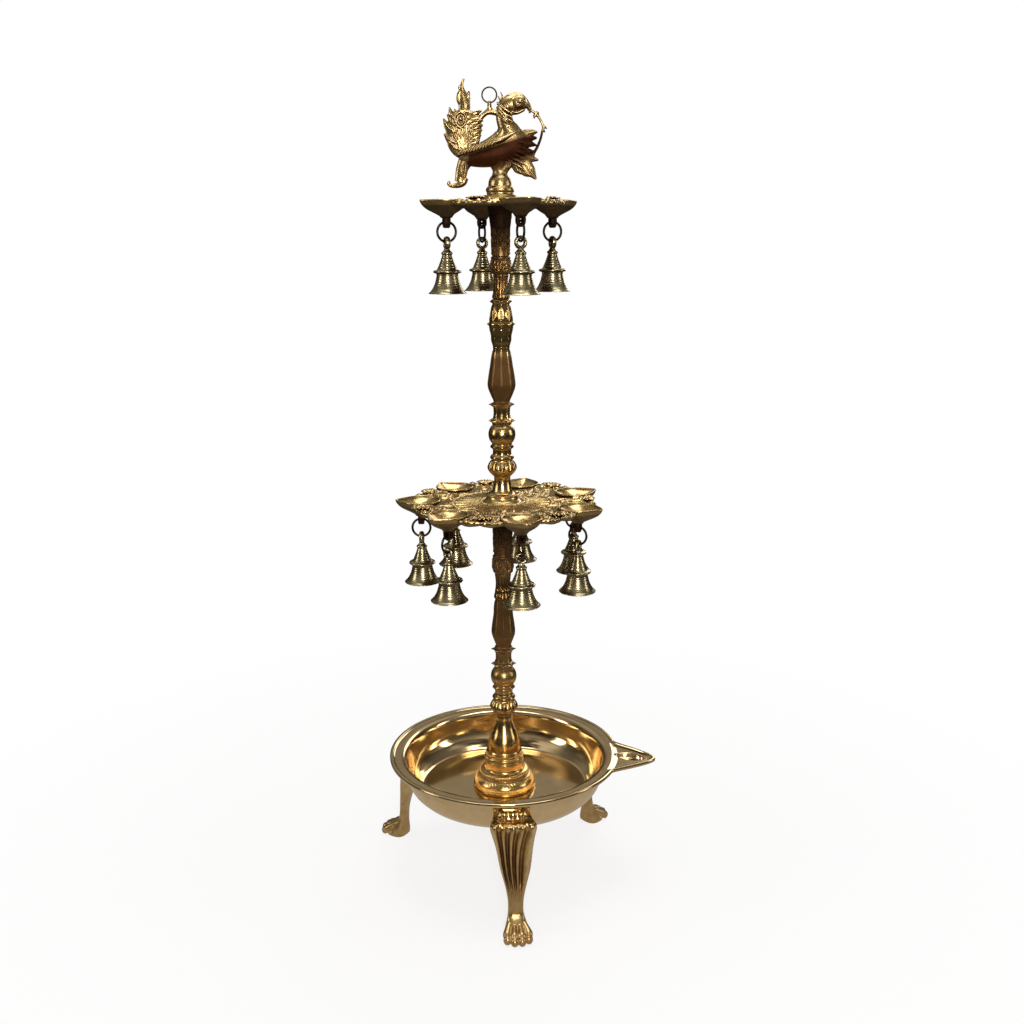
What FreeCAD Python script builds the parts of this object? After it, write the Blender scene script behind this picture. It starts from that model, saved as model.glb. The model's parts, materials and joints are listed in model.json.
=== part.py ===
"""Brass standing oil lamp: a footed oil basin, a turned stem, two trays of pointed
wick cups hung with bells, and a peacock finial.

Millimetres, +Z up, origin on the stem's axis at floor level. -Y is the front and the
pouring spout points to +X. Every casting is drawn with its own outward direction
along +X and is then turned about Z to its place on the lamp.
"""
import FreeCAD, Part
import math
import os
import Sketcher

from FreeCAD import Placement, Rotation, Vector

doc = FreeCAD.newDocument("standing_oil_lamp")
sheet = doc.addObject("Spreadsheet::Sheet", "Sizes")

UP = Vector(0, 0, 1)
parts = {}


# ---------------------------------------------------------------- driving dimensions

DIMENSIONS = {
    # oil basin
    "rim_radius": 125.0,
    "rim_height": 137.0,
    "flange_width": 16.0,
    "flange_thickness": 2.6,
    "lip_width": 4.0,
    "lip_rise": 1.5,
    "basin_wall": 2.6,
    "basin_depth": 41.0,
    "floor_radius": 90.0,
    "bulge_radius": 101.5,
    "bulge_height": 10.5,
    "bulge_slope": 4.5,
    "floor_hole_radius": 4.4,
    "spout_reach": 39.5,
    "spout_half_width": 33.0,
    "spout_depth": 9.0,
    "spout_trough_depth": 6.0,
    "spout_wall": 2.5,
    "spout_turn": -7.5,
    # paw legs
    "leg_reach": 37.5,
    "leg_knee_width": 47.6,
    "leg_thigh_width": 31.0,
    "leg_ankle_width": 16.6,
    "leg_paw_width": 30.0,
    "leg_paw_height": 14.0,
    "leg_splay": 7.5,
    "knee_height": 23.0,
    "knee_reach": 4.5,
    "pad_height": 7.0,
    "pad_thickness": 5.0,
    "shank_thickness": 7.5,
    "leg_front_turn": -86.0,
    "leg_right_turn": 42.0,
    "leg_left_turn": 151.0,
    "braze_gap": 0.1,
    # stepped foot of the stem and its fixing bolt
    "pedestal_height": 41.0,
    "dome_radius": 33.5,
    "step_radius": 26.5,
    "drum_radius": 20.7,
    "bolt_radius": 3.95,
    "bolt_engagement": 24.0,
    "bolt_head_radius": 7.5,
    "bolt_head_height": 5.5,
    "washer_radius": 12.0,
    "washer_thickness": 1.6,
    "thread_gap": 0.05,
    # turned stem
    "spigot_radius": 5.0,
    "spigot_length": 12.0,
    "spigot_gap": 0.1,
    "lower_foot_radius": 19.0,
    "lower_foot_height": 42.6,
    "upper_foot_radius": 17.0,
    "upper_foot_height": 19.6,
    "baluster_height": 131.4,
    "throat_radius": 8.2,
    "ball_radius": 14.5,
    "petal_radius": 14.6,
    "lower_facet_radius": 12.2,
    "upper_facet_radius": 13.4,
    "vase_height": 49.0,
    "vase_radius": 12.6,
    "lower_column_radius": 11.0,
    "upper_column_radius": 10.0,
    "lower_column_height": 94.0,
    "upper_column_height": 81.0,
    # trays of wick cups
    "hub_radius": 17.0,
    "hub_under_radius": 13.0,
    "hub_height": 19.0,
    "hub_to_rim": 14.0,
    "tray_thickness": 4.5,
    "lower_cup_count": 7,
    "lower_hang_radius": 85.0,
    "lower_tray_radius": 95.0,
    "lower_first_turn": -77.7,
    "upper_cup_count": 4,
    "upper_hang_radius": 55.5,
    "upper_tray_radius": 62.0,
    "upper_first_turn": -70.0,
    "cup_radius": 20.5,
    "cup_tip": 29.5,
    "cup_wall": 1.8,
    "cup_depth": 8.0,
    "cup_floor_radius": 13.0,
    "cup_edge": 1.5,
    "lug_neck_radius": 6.0,
    "lug_neck_drop": 15.0,
    "lug_thickness": 6.5,
    "lug_width": 10.5,
    "lug_hole_radius": 2.2,
    "lug_hole_drop": 20.3,
    "lug_wall": 3.8,
    # wire rings, bells and clappers
    "ring_radius": 9.4,
    "ring_wire_radius": 1.1,
    "hang_gap": 0.65,
    "loop_hole_radius": 2.9,
    "loop_wall": 3.6,
    "loop_thickness": 5.0,
    "bell_height": 48.3,
    "bell_mouth_radius": 19.0,
    "bell_waist_radius": 10.6,
    "bell_flange_radius": 13.8,
    "bell_crown_radius": 10.0,
    "bell_top_radius": 4.8,
    "bell_wall": 1.7,
    "clapper_bar_radius": 1.0,
    "clapper_bar_gap": 0.07,
    "clapper_bar_drop": 21.0,
    "clapper_eye_wall": 1.5,
    "clapper_eye_width": 2.4,
    "clapper_rod_radius": 0.9,
    "clapper_ball_radius": 3.4,
    "clapper_length": 21.5,
    # peacock finial
    "finial_height": 108.0,
    "finial_bead_radius": 14.0,
    "finial_plate": 6.0,
    "back_ring_radius": 7.0,
    "back_ring_wire": 0.8,
}


class Size:
    """A length or angle together with the sheet expression that gives it."""

    def __init__(self, value, text):
        self.value = value
        self.text = text

    def __add__(self, other):
        other = as_size(other)
        return Size(self.value + other.value, f"({self.text} + {other.text})")

    def __sub__(self, other):
        other = as_size(other)
        return Size(self.value - other.value, f"({self.text} - {other.text})")

    def __mul__(self, other):
        other = as_size(other)
        return Size(self.value * other.value, f"({self.text} * {other.text})")

    def __truediv__(self, other):
        other = as_size(other)
        return Size(self.value / other.value, f"({self.text} / {other.text})")

    def __neg__(self):
        return Size(-self.value, f"(-1 * {self.text})")


def as_size(number):
    if isinstance(number, Size):
        return number
    return Size(float(number), f"({float(number)})")


def cosine(angle):
    return Size(math.cos(math.radians(angle.value)), f"cos({angle.text})")


def sine(angle):
    return Size(math.sin(math.radians(angle.value)), f"sin({angle.text})")


def fill_sheet():
    for row, (name, number) in enumerate(DIMENSIONS.items(), start=1):
        sheet.set(f"A{row}", name)
        sheet.set(f"B{row}", str(number))
        sheet.setAlias(f"B{row}", name)
    doc.recompute()
    return {name: Size(float(sheet.get(name)), f"Sizes.{name}") for name in DIMENSIONS}


dim = fill_sheet()


# ---------------------------------------------------------------- small helpers

def origin_feature(body, role):
    for feature in body.Origin.OriginFeatures:
        if feature.Role == role:
            return feature
    raise RuntimeError(f"{body.Label} has no {role}")


def new_body(label, is_part=True):
    body = doc.addObject("PartDesign::Body", label)
    body.Label = label
    if is_part:
        parts[label] = body
    return body


def new_sketch(body, name, role="XZ_Plane", offset=None):
    """A sketch on one of the body's origin planes, moved out along its normal."""
    sketch = body.newObject("Sketcher::SketchObject", name)
    sketch.AttachmentSupport = [(origin_feature(body, role), "")]
    sketch.MapMode = "FlatFace"
    if offset is not None:
        sketch.AttachmentOffset = Placement(Vector(0, 0, offset.value), Rotation())
        sketch.setExpression("AttachmentOffset.Base.z", offset.text)
    return sketch


def pin_point(sketch, geometry, end, x, y):
    """Hold one vertex of a sketch at the sizes x and y from the sketch's origin."""
    for kind, axis, size in (("DistanceX", -2, as_size(x)), ("DistanceY", -1, as_size(y))):
        if size.value == 0:
            sketch.addConstraint(Sketcher.Constraint("PointOnObject", geometry, end, axis))
            continue
        index = sketch.addConstraint(
            Sketcher.Constraint(kind, -1, 1, geometry, end, size.value))
        sketch.setExpression(f"Constraints[{index}]", size.text)


def draw_outline(sketch, corners):
    """A closed polygon through the corners, each corner pinned to its sizes."""
    corners = [(as_size(x), as_size(y)) for x, y in corners]
    points = [Vector(x.value, y.value, 0) for x, y in corners]
    count = len(points)
    for i in range(count):
        sketch.addGeometry(Part.LineSegment(points[i], points[(i + 1) % count]), False)
    for i in range(count):
        sketch.addConstraint(Sketcher.Constraint("Coincident", i, 2, (i + 1) % count, 1))
    for i, (x, y) in enumerate(corners):
        pin_point(sketch, i, 1, x, y)


def draw_circle(sketch, x, y, radius):
    x, y, radius = as_size(x), as_size(y), as_size(radius)
    circle = sketch.addGeometry(
        Part.Circle(Vector(x.value, y.value, 0), UP, radius.value), False)
    index = sketch.addConstraint(Sketcher.Constraint("Radius", circle, radius.value))
    sketch.setExpression(f"Constraints[{index}]", radius.text)
    pin_point(sketch, circle, 3, x, y)


def draw_teardrop(sketch, centre, radius, tip):
    """A round bowl outline drawn out into a point on its outward side."""
    half_angle = math.acos(radius.value / tip.value)
    middle = Vector(centre.value, 0, 0)
    touch = Vector(radius.value * math.cos(half_angle), radius.value * math.sin(half_angle), 0)
    mirrored = Vector(touch.x, -touch.y, 0)
    point = middle + Vector(tip.value, 0, 0)
    circle = Part.Circle(middle, UP, radius.value)
    bowl = sketch.addGeometry(
        Part.ArcOfCircle(circle, half_angle, 2 * math.pi - half_angle), False)
    lower = sketch.addGeometry(Part.LineSegment(middle + mirrored, point), False)
    upper = sketch.addGeometry(Part.LineSegment(point, middle + touch), False)
    sketch.addConstraint(Sketcher.Constraint("Tangent", bowl, 2, lower, 1))
    sketch.addConstraint(Sketcher.Constraint("Coincident", lower, 2, upper, 1))
    sketch.addConstraint(Sketcher.Constraint("Tangent", upper, 2, bowl, 1))
    index = sketch.addConstraint(Sketcher.Constraint("Radius", bowl, radius.value))
    sketch.setExpression(f"Constraints[{index}]", radius.text)
    pin_point(sketch, bowl, 3, centre, 0)
    pin_point(sketch, lower, 2, centre + tip, 0)


def revolve(body, name, corners, kind="PartDesign::Revolution"):
    """Turn an outline given as (radius, height) about the body's Z axis."""
    sketch = new_sketch(body, name + "_profile")
    draw_outline(sketch, corners)
    feature = body.newObject(kind, name)
    feature.Profile = (sketch, [""])
    feature.ReferenceAxis = (sketch, ["V_Axis"])
    feature.Angle = 360
    return feature


def extrude(body, name, sketch, length, kind="PartDesign::Pad", midplane=False,
            reverse=False):
    feature = body.newObject(kind, name)
    feature.Profile = (sketch, [""])
    feature.Length = length.value
    feature.setExpression("Length", length.text)
    feature.Midplane = midplane
    feature.Reversed = reverse
    return feature


def place(item, turn=None, x=None, y=None, z=None):
    """Turn an item about Z and move it, all bound to the sheet."""
    sizes = [as_size(v if v is not None else 0) for v in (x, y, z)]
    turn = as_size(turn if turn is not None else 0)
    item.Placement = Placement(
        Vector(*(size.value for size in sizes)), Rotation(UP, turn.value))
    for axis, size in zip("xyz", sizes):
        if size.value != 0:
            item.setExpression(f"Placement.Base.{axis}", size.text)
    if turn.value != 0:
        item.setExpression("Placement.Rotation.Angle", turn.text)


def mirrored_outline(half):
    """Complete an outline given from one end of its axis of symmetry (y = 0)."""
    other = [(x, -as_size(y)) for x, y in reversed(half) if as_size(y).value != 0]
    return half + other


# ---------------------------------------------------------------- heights along the stem

basin_floor = dim["rim_height"] - dim["basin_depth"]
basin_under = basin_floor - dim["basin_wall"]
pedestal_top = basin_floor + dim["pedestal_height"]
lower_column_foot = pedestal_top + dim["lower_foot_height"] + dim["baluster_height"]
lower_hub_under = lower_column_foot + dim["lower_column_height"]
lower_hub_top = lower_hub_under + dim["hub_height"]
vase_foot = lower_hub_top + dim["upper_foot_height"] + dim["baluster_height"]
upper_column_foot = vase_foot + dim["vase_height"]
upper_hub_under = upper_column_foot + dim["upper_column_height"]
upper_hub_top = upper_hub_under + dim["hub_height"]
socket_radius = dim["spigot_radius"] + dim["spigot_gap"]
socket_depth = dim["spigot_length"] + 1.0


# ---------------------------------------------------------------- oil basin

flange_under = dim["rim_height"] - dim["lip_rise"] - dim["flange_thickness"]
wall_top_radius = dim["rim_radius"] - dim["flange_width"]
wall_top_out = wall_top_radius + dim["basin_wall"]
wall_foot_radius = dim["floor_radius"] + dim["basin_wall"]


def bowl_wall(offset, floor, top):
    """Stations up the bowl's bulging wall, moved out and down from its inner face."""
    corner = dim["basin_wall"]
    middle = dim["bulge_height"] * 2.2
    return [
        (dim["floor_radius"] - corner + offset * 0.5, floor),
        (dim["floor_radius"] + corner + offset, floor + corner),
        (dim["bulge_radius"] + offset, floor + dim["bulge_height"]),
        (dim["bulge_radius"] + dim["bulge_slope"] + offset, floor + middle),
        (wall_top_radius + offset, top),
    ]


def make_basin():
    body = new_body("basin")
    flange_top = dim["rim_height"] - dim["lip_rise"]
    revolve(body, "bowl_outside", [
        (0, basin_under),
    ] + bowl_wall(dim["basin_wall"], basin_under, flange_under) + [
        (dim["rim_radius"], flange_under),
        (dim["rim_radius"], dim["rim_height"]),
        (0, dim["rim_height"]),
    ])
    # the spout is a pointed slab under the rim, blending in with hollow sides
    half_width = dim["spout_half_width"]
    wall = dim["spout_wall"]
    tip = dim["rim_radius"] + dim["spout_reach"]
    root = dim["rim_radius"] * 0.95
    slab = new_sketch(body, "spout_outline", "XY_Plane", dim["rim_height"] - dim["spout_depth"])
    draw_outline(slab, mirrored_outline([
        (wall_top_radius * 0.985, half_width * 0.8),
        (root, half_width),
        (dim["rim_radius"] + dim["spout_reach"] * 0.2, half_width * 0.6),
        (dim["rim_radius"] + dim["spout_reach"] * 0.55, half_width * 0.38),
        (tip - wall * 1.6, half_width * 0.2),
        (tip, 0),
    ]))
    extrude(body, "spout", slab, dim["spout_depth"])
    revolve(body, "bowl_inside", [
        (0, basin_floor),
    ] + bowl_wall(as_size(0), basin_floor, flange_top) + [
        (dim["rim_radius"] - dim["lip_width"], flange_top),
        (dim["rim_radius"] - dim["lip_width"], dim["rim_height"] + 1),
        (0, dim["rim_height"] + 1),
    ], "PartDesign::Groove")
    trough = new_sketch(body, "trough_outline", "XY_Plane", dim["rim_height"])
    draw_outline(trough, mirrored_outline([
        (wall_top_radius - 3, half_width * 0.8 - wall * 2),
        (root, half_width - wall * 2.4),
        (dim["rim_radius"] + dim["spout_reach"] * 0.2, half_width * 0.6 - wall * 1.2),
        (dim["rim_radius"] + dim["spout_reach"] * 0.55, half_width * 0.38 - wall),
        (tip - wall * 3.2, half_width * 0.2 - wall),
        (tip - wall * 1.8, 0),
    ]))
    extrude(body, "spout_trough", trough, dim["spout_trough_depth"], "PartDesign::Pocket")
    hole = new_sketch(body, "floor_hole_outline", "XY_Plane", basin_floor + 1)
    draw_circle(hole, 0, 0, dim["floor_hole_radius"])
    extrude(body, "floor_hole", hole, dim["basin_wall"] + 2, "PartDesign::Pocket")
    place(body, turn=dim["spout_turn"])


# ---------------------------------------------------------------- paw legs

def plain_sketch(name, corners, turn_axis):
    """A sketch that stands outside any body, turned upright about one axis."""
    sketch = doc.addObject("Sketcher::SketchObject", name)
    draw_outline(sketch, corners)
    rotation = Rotation(Vector(1, 0, 0), 90)
    if turn_axis == "x":
        rotation = Rotation(UP, 90).multiply(rotation)
    sketch.Placement = Placement(Vector(), rotation)
    return sketch


def plate(name, sketch, length, symmetric=True):
    extrusion = doc.addObject("Part::Extrusion", name)
    extrusion.Base = sketch
    extrusion.DirMode = "Normal"
    extrusion.LengthFwd = length.value
    extrusion.setExpression("LengthFwd", length.text)
    extrusion.Solid = True
    extrusion.Symmetric = symmetric
    return extrusion


def make_leg(label, turn):
    """A leg is its side outline and its front outline, pushed through each other."""
    rim = dim["rim_radius"]
    knee_top = basin_under + dim["knee_height"]
    knee_under = knee_top - dim["pad_height"]
    pad_top = knee_top + dim["pad_height"]
    paw = dim["leg_paw_height"]
    toe = rim + dim["leg_reach"]
    shank = dim["shank_thickness"]
    knee = rim + dim["knee_reach"]
    shin = knee + dim["leg_splay"] * 0.4
    ankle = knee + dim["leg_splay"]
    side = plain_sketch(label + "_side", [
        (toe - 1, 0),
        (toe, paw * 0.35),
        (toe - paw * 0.4, paw * 0.8),
        (toe - paw, paw),
        (ankle + paw * 0.3, paw * 1.3),
        (ankle, paw * 2),
        (shin, basin_under * 0.55),
        (knee, basin_under * 0.85),
        (knee, knee_under),
        (knee - shank * 0.4, knee_top),
        (wall_top_out + dim["pad_thickness"], knee_top),
        (wall_top_out + dim["pad_thickness"] * 0.5, pad_top),
        (wall_foot_radius, pad_top),
        (wall_foot_radius, basin_under + 1),
        (shin - shank * 2, basin_under * 0.92),
        (shin - shank, basin_under * 0.7),
        (shin - shank * 0.8, basin_under * 0.55),
        (ankle - shank * 0.8, paw * 2),
        (ankle - shank * 0.8, paw),
        (ankle - shank * 1.4, 0),
    ], "y")
    front = plain_sketch(label + "_front", mirrored_outline_upright([
        (dim["leg_paw_width"] * 0.46, 0),
        (dim["leg_paw_width"] * 0.5, paw * 0.4),
        (dim["leg_paw_width"] * 0.42, paw * 0.8),
        (dim["leg_ankle_width"] * 0.55, paw * 1.35),
        (dim["leg_ankle_width"] * 0.5, paw * 2.07),
        (dim["leg_ankle_width"] * 0.7, basin_under * 0.52),
        (dim["leg_thigh_width"] * 0.5, basin_under * 0.7),
        (dim["leg_knee_width"] * 0.41, basin_under * 0.94),
        (dim["leg_knee_width"] * 0.5, knee_under),
        (dim["leg_knee_width"] * 0.46, knee_top),
        (dim["leg_knee_width"] * 0.34, knee_top + 1),
        (dim["leg_knee_width"] * 0.34, pad_top),
    ]), "x")
    side_plate = plate(label + "_side_plate", side, dim["leg_knee_width"] * 1.2)
    front_plate = plate(label + "_front_plate", front, toe * 1.1, symmetric=False)
    shape = doc.addObject("Part::Common", label + "_shape")
    shape.Base = side_plate
    shape.Tool = front_plate
    # the bowl and a brazing gap are cut away, so that the leg follows the curved wall
    gap = dim["braze_gap"]
    under = basin_under - gap
    section = plain_sketch(label + "_bowl_section", [(0, under)] + bowl_wall(
        dim["basin_wall"] + gap, under, flange_under) + [(0, flange_under)], "y")
    bowl = doc.addObject("Part::Revolution", label + "_bowl")
    bowl.Source = section
    bowl.Axis = UP
    bowl.Angle = 360
    bowl.Solid = True
    leg = doc.addObject("Part::Cut", label)
    leg.Base = shape
    leg.Tool = bowl
    leg.Label = label
    place(leg, turn=turn)
    parts[label] = leg


def mirrored_outline_upright(half):
    """Complete an outline whose axis of symmetry is x = 0, given up its right side."""
    return half + [(-as_size(x), y) for x, y in reversed(half)]


# ---------------------------------------------------------------- turned stem pieces

def turned(label, outside, height, foot_hole=None, top_spigot=True):
    """A turned casting: outside stations, a blind hole in the foot and a top spigot."""
    hole_radius, hole_depth = foot_hole or (socket_radius, socket_depth)
    corners = [(hole_radius, 0)] + outside
    if top_spigot:
        spigot_top = height + dim["spigot_length"]
        corners += [(dim["spigot_radius"], height), (dim["spigot_radius"], spigot_top),
                    (0, spigot_top)]
    else:
        corners += [(0, height)]
    corners += [(0, hole_depth), (hole_radius, hole_depth)]
    body = new_body(label)
    revolve(body, label + "_turning", corners)
    return body


def make_pedestal():
    height = dim["pedestal_height"]
    outside = [
        (dim["dome_radius"], 0),
        (dim["dome_radius"], height * 0.1),
        (dim["dome_radius"] * 0.93, height * 0.28),
        (dim["dome_radius"] * 0.82, height * 0.38),
        (dim["step_radius"], height * 0.4),
        (dim["step_radius"], height * 0.52),
        (dim["drum_radius"], height * 0.56),
        (dim["drum_radius"], height),
    ]
    bolt_hole = (dim["bolt_radius"] + dim["thread_gap"], dim["bolt_engagement"])
    body = turned("base_pedestal", outside, height, bolt_hole)
    place(body, z=basin_floor)


def make_base_fixing():
    """A hexagon bolt and washer under the basin floor hold the pedestal down."""
    washer_top = basin_under
    washer = new_body("base_washer")
    bore = dim["bolt_radius"] + 0.3
    revolve(washer, "washer_turning", [
        (bore, 0),
        (dim["washer_radius"], 0),
        (dim["washer_radius"], dim["washer_thickness"]),
        (bore, dim["washer_thickness"]),
    ])
    place(washer, z=washer_top - dim["washer_thickness"])

    head = doc.addObject("Part::Prism", "bolt_head")
    head.Polygon = 6
    shank = doc.addObject("Part::Cylinder", "bolt_shank")
    shank_length = (dim["bolt_head_height"] + dim["washer_thickness"] + dim["basin_wall"]
                    + dim["bolt_engagement"] - 2)
    for item, prop, size in ((head, "Circumradius", dim["bolt_head_radius"]),
                             (head, "Height", dim["bolt_head_height"]),
                             (shank, "Radius", dim["bolt_radius"]),
                             (shank, "Height", shank_length)):
        setattr(item, prop, size.value)
        item.setExpression(prop, size.text)
    bolt = doc.addObject("Part::Fuse", "base_bolt")
    bolt.Base = head
    bolt.Tool = shank
    bolt.Label = "base_bolt"
    place(bolt, z=washer_top - dim["washer_thickness"] - dim["bolt_head_height"])
    parts["base_bolt"] = bolt


def baluster_stations(foot_height, facet):
    """The stations that both balusters share, above their different feet."""
    throat = dim["throat_radius"]
    rise = dim["baluster_height"] / 100
    shares = [
        (dim["petal_radius"] * 0.82, 2), (dim["petal_radius"], 6.5),
        (dim["petal_radius"] * 0.82, 12.5), (throat * 1.34, 20), (throat * 1.34, 23),
        (throat * 1.46, 24.5), (throat * 1.38, 27), (dim["ball_radius"] * 0.93, 30.5),
        (dim["ball_radius"], 33), (dim["ball_radius"] * 0.92, 36), (throat * 1.22, 39.5),
        (throat * 1.2, 43), (throat * 1.34, 44.5), (throat * 1.1, 46), (throat, 49),
        (throat, 54), (throat * 1.31, 56), (throat * 1.31, 58), (throat * 1.08, 60),
        (facet * 0.72, 63), (facet * 0.87, 67.5),
        (facet, 71), (facet, 73.5),
        (facet * 0.93, 79), (facet * 0.84, 84),
        (facet * 0.68, 92.5), (throat, 98), (throat, 100),
    ]
    return [(radius, foot_height + rise * share) for radius, share in shares]


def make_balusters():
    foot = dim["lower_foot_height"]
    wide = dim["lower_foot_radius"]
    outside = [
        (wide, 0), (wide * 0.96, foot * 0.2), (wide * 0.82, foot * 0.37),
        (wide * 0.69, foot * 0.51), (wide * 0.49, foot * 0.71),
        (dim["throat_radius"] * 1.02, foot * 0.88), (dim["throat_radius"] * 1.02, foot),
    ] + baluster_stations(foot, dim["lower_facet_radius"])
    body = turned("lower_baluster", outside, foot + dim["baluster_height"])
    place(body, z=pedestal_top)

    foot = dim["upper_foot_height"]
    wide = dim["upper_foot_radius"]
    outside = [
        (wide, 0), (wide, foot * 0.08), (wide * 0.66, foot * 0.2),
        (wide * 0.55, foot * 0.45), (dim["throat_radius"] * 1.04, foot * 0.8),
        (dim["throat_radius"] * 1.04, foot),
    ] + baluster_stations(foot, dim["upper_facet_radius"])
    body = turned("upper_baluster", outside, foot + dim["baluster_height"])
    place(body, z=lower_hub_top)


def make_vase():
    height = dim["vase_height"]
    wide = dim["vase_radius"]
    outside = [
        (dim["throat_radius"], 0), (wide * 0.61, height * 0.08), (wide * 0.75, height * 0.2),
        (wide * 0.9, height * 0.4), (wide, height * 0.5), (wide * 0.9, height * 0.62),
        (wide * 0.76, height * 0.78), (wide * 0.71, height * 0.9), (wide * 0.75, height),
    ]
    body = turned("upper_vase", outside, height)
    place(body, z=vase_foot)


def make_column(label, height, foot, wide):
    """The relief-cast column under a tray, swelling into a capital at its top."""
    through_tray = dim["hub_height"] + dim["spigot_length"]
    outside = [
        (wide * 0.8, 0), (wide, height * 0.06), (wide * 0.96, height * 0.3),
        (wide * 1.03, height * 0.6), (wide, height * 0.82), (wide * 1.25, height * 0.93),
        (dim["hub_under_radius"] * 0.94, height),
    ]
    corners = [(socket_radius, 0)] + outside + [
        (dim["spigot_radius"], height), (dim["spigot_radius"], height + through_tray),
        (0, height + through_tray), (0, socket_depth), (socket_radius, socket_depth)]
    body = new_body(label)
    revolve(body, label + "_turning", corners)
    place(body, z=foot)


# ---------------------------------------------------------------- trays

def make_tray(label, tier, foot):
    """A cast tray: hub, plate, and a ring of pointed cups, each with a lug below."""
    hang = dim[tier + "_hang_radius"]
    rim = dim["hub_to_rim"]
    body = new_body(label)
    plate_top = rim - dim["cup_edge"]
    plate_under = plate_top - dim["tray_thickness"]
    revolve(body, "plate", [
        (socket_radius, 0),
        (dim["hub_under_radius"], 0),
        (dim["hub_radius"] * 1.5, plate_under),
        (dim[tier + "_tray_radius"], plate_under + 2),
        (dim[tier + "_tray_radius"], plate_top),
        (dim["hub_radius"] * 1.3, plate_top + 1),
        (dim["hub_radius"], dim["hub_height"]),
        (socket_radius, dim["hub_height"]),
    ])

    outer_floor = dim["cup_floor_radius"] + dim["cup_wall"]
    cup_under = rim - dim["cup_depth"] - dim["cup_wall"]
    tip_ratio = dim["cup_tip"] / dim["cup_radius"]
    levels = [
        (rim, dim["cup_radius"], dim["cup_tip"]),
        (rim - dim["cup_edge"], dim["cup_radius"], dim["cup_tip"]),
        (cup_under, outer_floor, outer_floor * (tip_ratio - 0.15)),
    ]
    outside = loft_cup(body, "cup_outside", "PartDesign::AdditiveLoft", hang, levels)

    neck = new_sketch(body, "lug_neck_profile", "XZ_Plane")
    neck_under = rim - dim["lug_neck_drop"]
    draw_outline(neck, [
        (hang, cup_under + 1),
        (hang + outer_floor * 0.97, cup_under + 1),
        (hang + outer_floor * 0.8, cup_under - 1),
        (hang + dim["lug_neck_radius"], neck_under),
        (hang, neck_under),
    ])
    axis = neck.addGeometry(Part.LineSegment(
        Vector(hang.value, neck_under.value, 0), Vector(hang.value, rim.value, 0)), True)
    pin_point(neck, axis, 1, hang, neck_under)
    pin_point(neck, axis, 2, hang, rim)
    funnel = body.newObject("PartDesign::Revolution", "lug_neck")
    funnel.Profile = (neck, [""])
    funnel.ReferenceAxis = (neck, ["Axis0"])
    funnel.Angle = 360

    hole_height = rim - dim["lug_hole_drop"]
    lug_under = hole_height - dim["lug_hole_radius"] - dim["lug_wall"]
    half = dim["lug_width"] * 0.5
    tongue = new_sketch(body, "lug_outline", "YZ_Plane", hang)
    draw_outline(tongue, mirrored_outline_upright([
        (half * 0.35, lug_under),
        (half * 0.7, lug_under + 2),
        (half * 0.85, hole_height),
        (half, neck_under + 2),
        (half, cup_under),
    ]))
    lug = extrude(body, "lug", tongue, dim["lug_thickness"], midplane=True)

    levels = [
        (rim + 1, dim["cup_radius"] - dim["cup_wall"] * 0.7,
         dim["cup_tip"] - dim["cup_wall"] * 1.2),
        (rim - dim["cup_edge"], dim["cup_radius"] - dim["cup_wall"],
         dim["cup_tip"] - dim["cup_wall"] * 1.6),
        (rim - dim["cup_depth"], dim["cup_floor_radius"] - dim["cup_wall"],
         (dim["cup_floor_radius"] - dim["cup_wall"]) * (tip_ratio - 0.15)),
    ]
    inside = loft_cup(body, "cup_inside", "PartDesign::SubtractiveLoft", hang, levels)

    eye = new_sketch(body, "lug_hole_outline", "YZ_Plane", hang)
    draw_circle(eye, 0, hole_height, dim["lug_hole_radius"])
    lug_hole = extrude(body, "lug_hole", eye, dim["lug_thickness"] + 4,
                       "PartDesign::Pocket", midplane=True)

    pattern = body.newObject("PartDesign::PolarPattern", "cups_around")
    pattern.Originals = [outside, funnel, lug, inside, lug_hole]
    pattern.Axis = (origin_feature(body, "Z_Axis"), [""])
    pattern.Angle = 360
    pattern.Occurrences = int(dim[tier + "_cup_count"].value)
    pattern.setExpression("Occurrences", dim[tier + "_cup_count"].text)
    body.Tip = pattern
    place(body, turn=dim[tier + "_first_turn"], z=foot)


def loft_cup(body, name, kind, hang, levels):
    sketches = []
    for number, (height, radius, tip) in enumerate(levels):
        sketch = new_sketch(body, f"{name}_level_{number}", "XY_Plane", height)
        draw_teardrop(sketch, hang, radius, tip)
        sketches.append(sketch)
    doc.recompute()
    feature = body.newObject(kind, name)
    feature.Profile = (sketches[0], [""])
    feature.Sections = [(sketch, [""]) for sketch in sketches[1:]]
    feature.Ruled = True
    return feature


# ---------------------------------------------------------------- rings, bells, clappers

# heights below the cup's rim
ring_drop = dim["lug_hole_drop"] + dim["ring_radius"]
loop_drop = (ring_drop + dim["ring_radius"] + dim["loop_hole_radius"]
             - dim["ring_wire_radius"] - dim["hang_gap"])


def make_ring(label, turn, hang, rim):
    """A wire ring in the plane of the stem's axis, threaded through the lug."""
    ring = doc.addObject("Part::Torus", label)
    ring.Radius1 = dim["ring_radius"].value
    ring.setExpression("Radius1", dim["ring_radius"].text)
    ring.Radius2 = dim["ring_wire_radius"].value
    ring.setExpression("Radius2", dim["ring_wire_radius"].text)
    ring.Label = label
    centre = Vector(hang.value * math.cos(math.radians(turn.value)),
                    hang.value * math.sin(math.radians(turn.value)),
                    (rim - ring_drop).value)
    upright = Rotation(UP, turn.value).multiply(Rotation(Vector(1, 0, 0), 90))
    ring.Placement = Placement(centre, upright)
    ring.setExpression("Placement.Base.x", (hang * cosine(turn)).text)
    ring.setExpression("Placement.Base.y", (hang * sine(turn)).text)
    ring.setExpression("Placement.Base.z", (rim - ring_drop).text)
    parts[label] = ring


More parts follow.
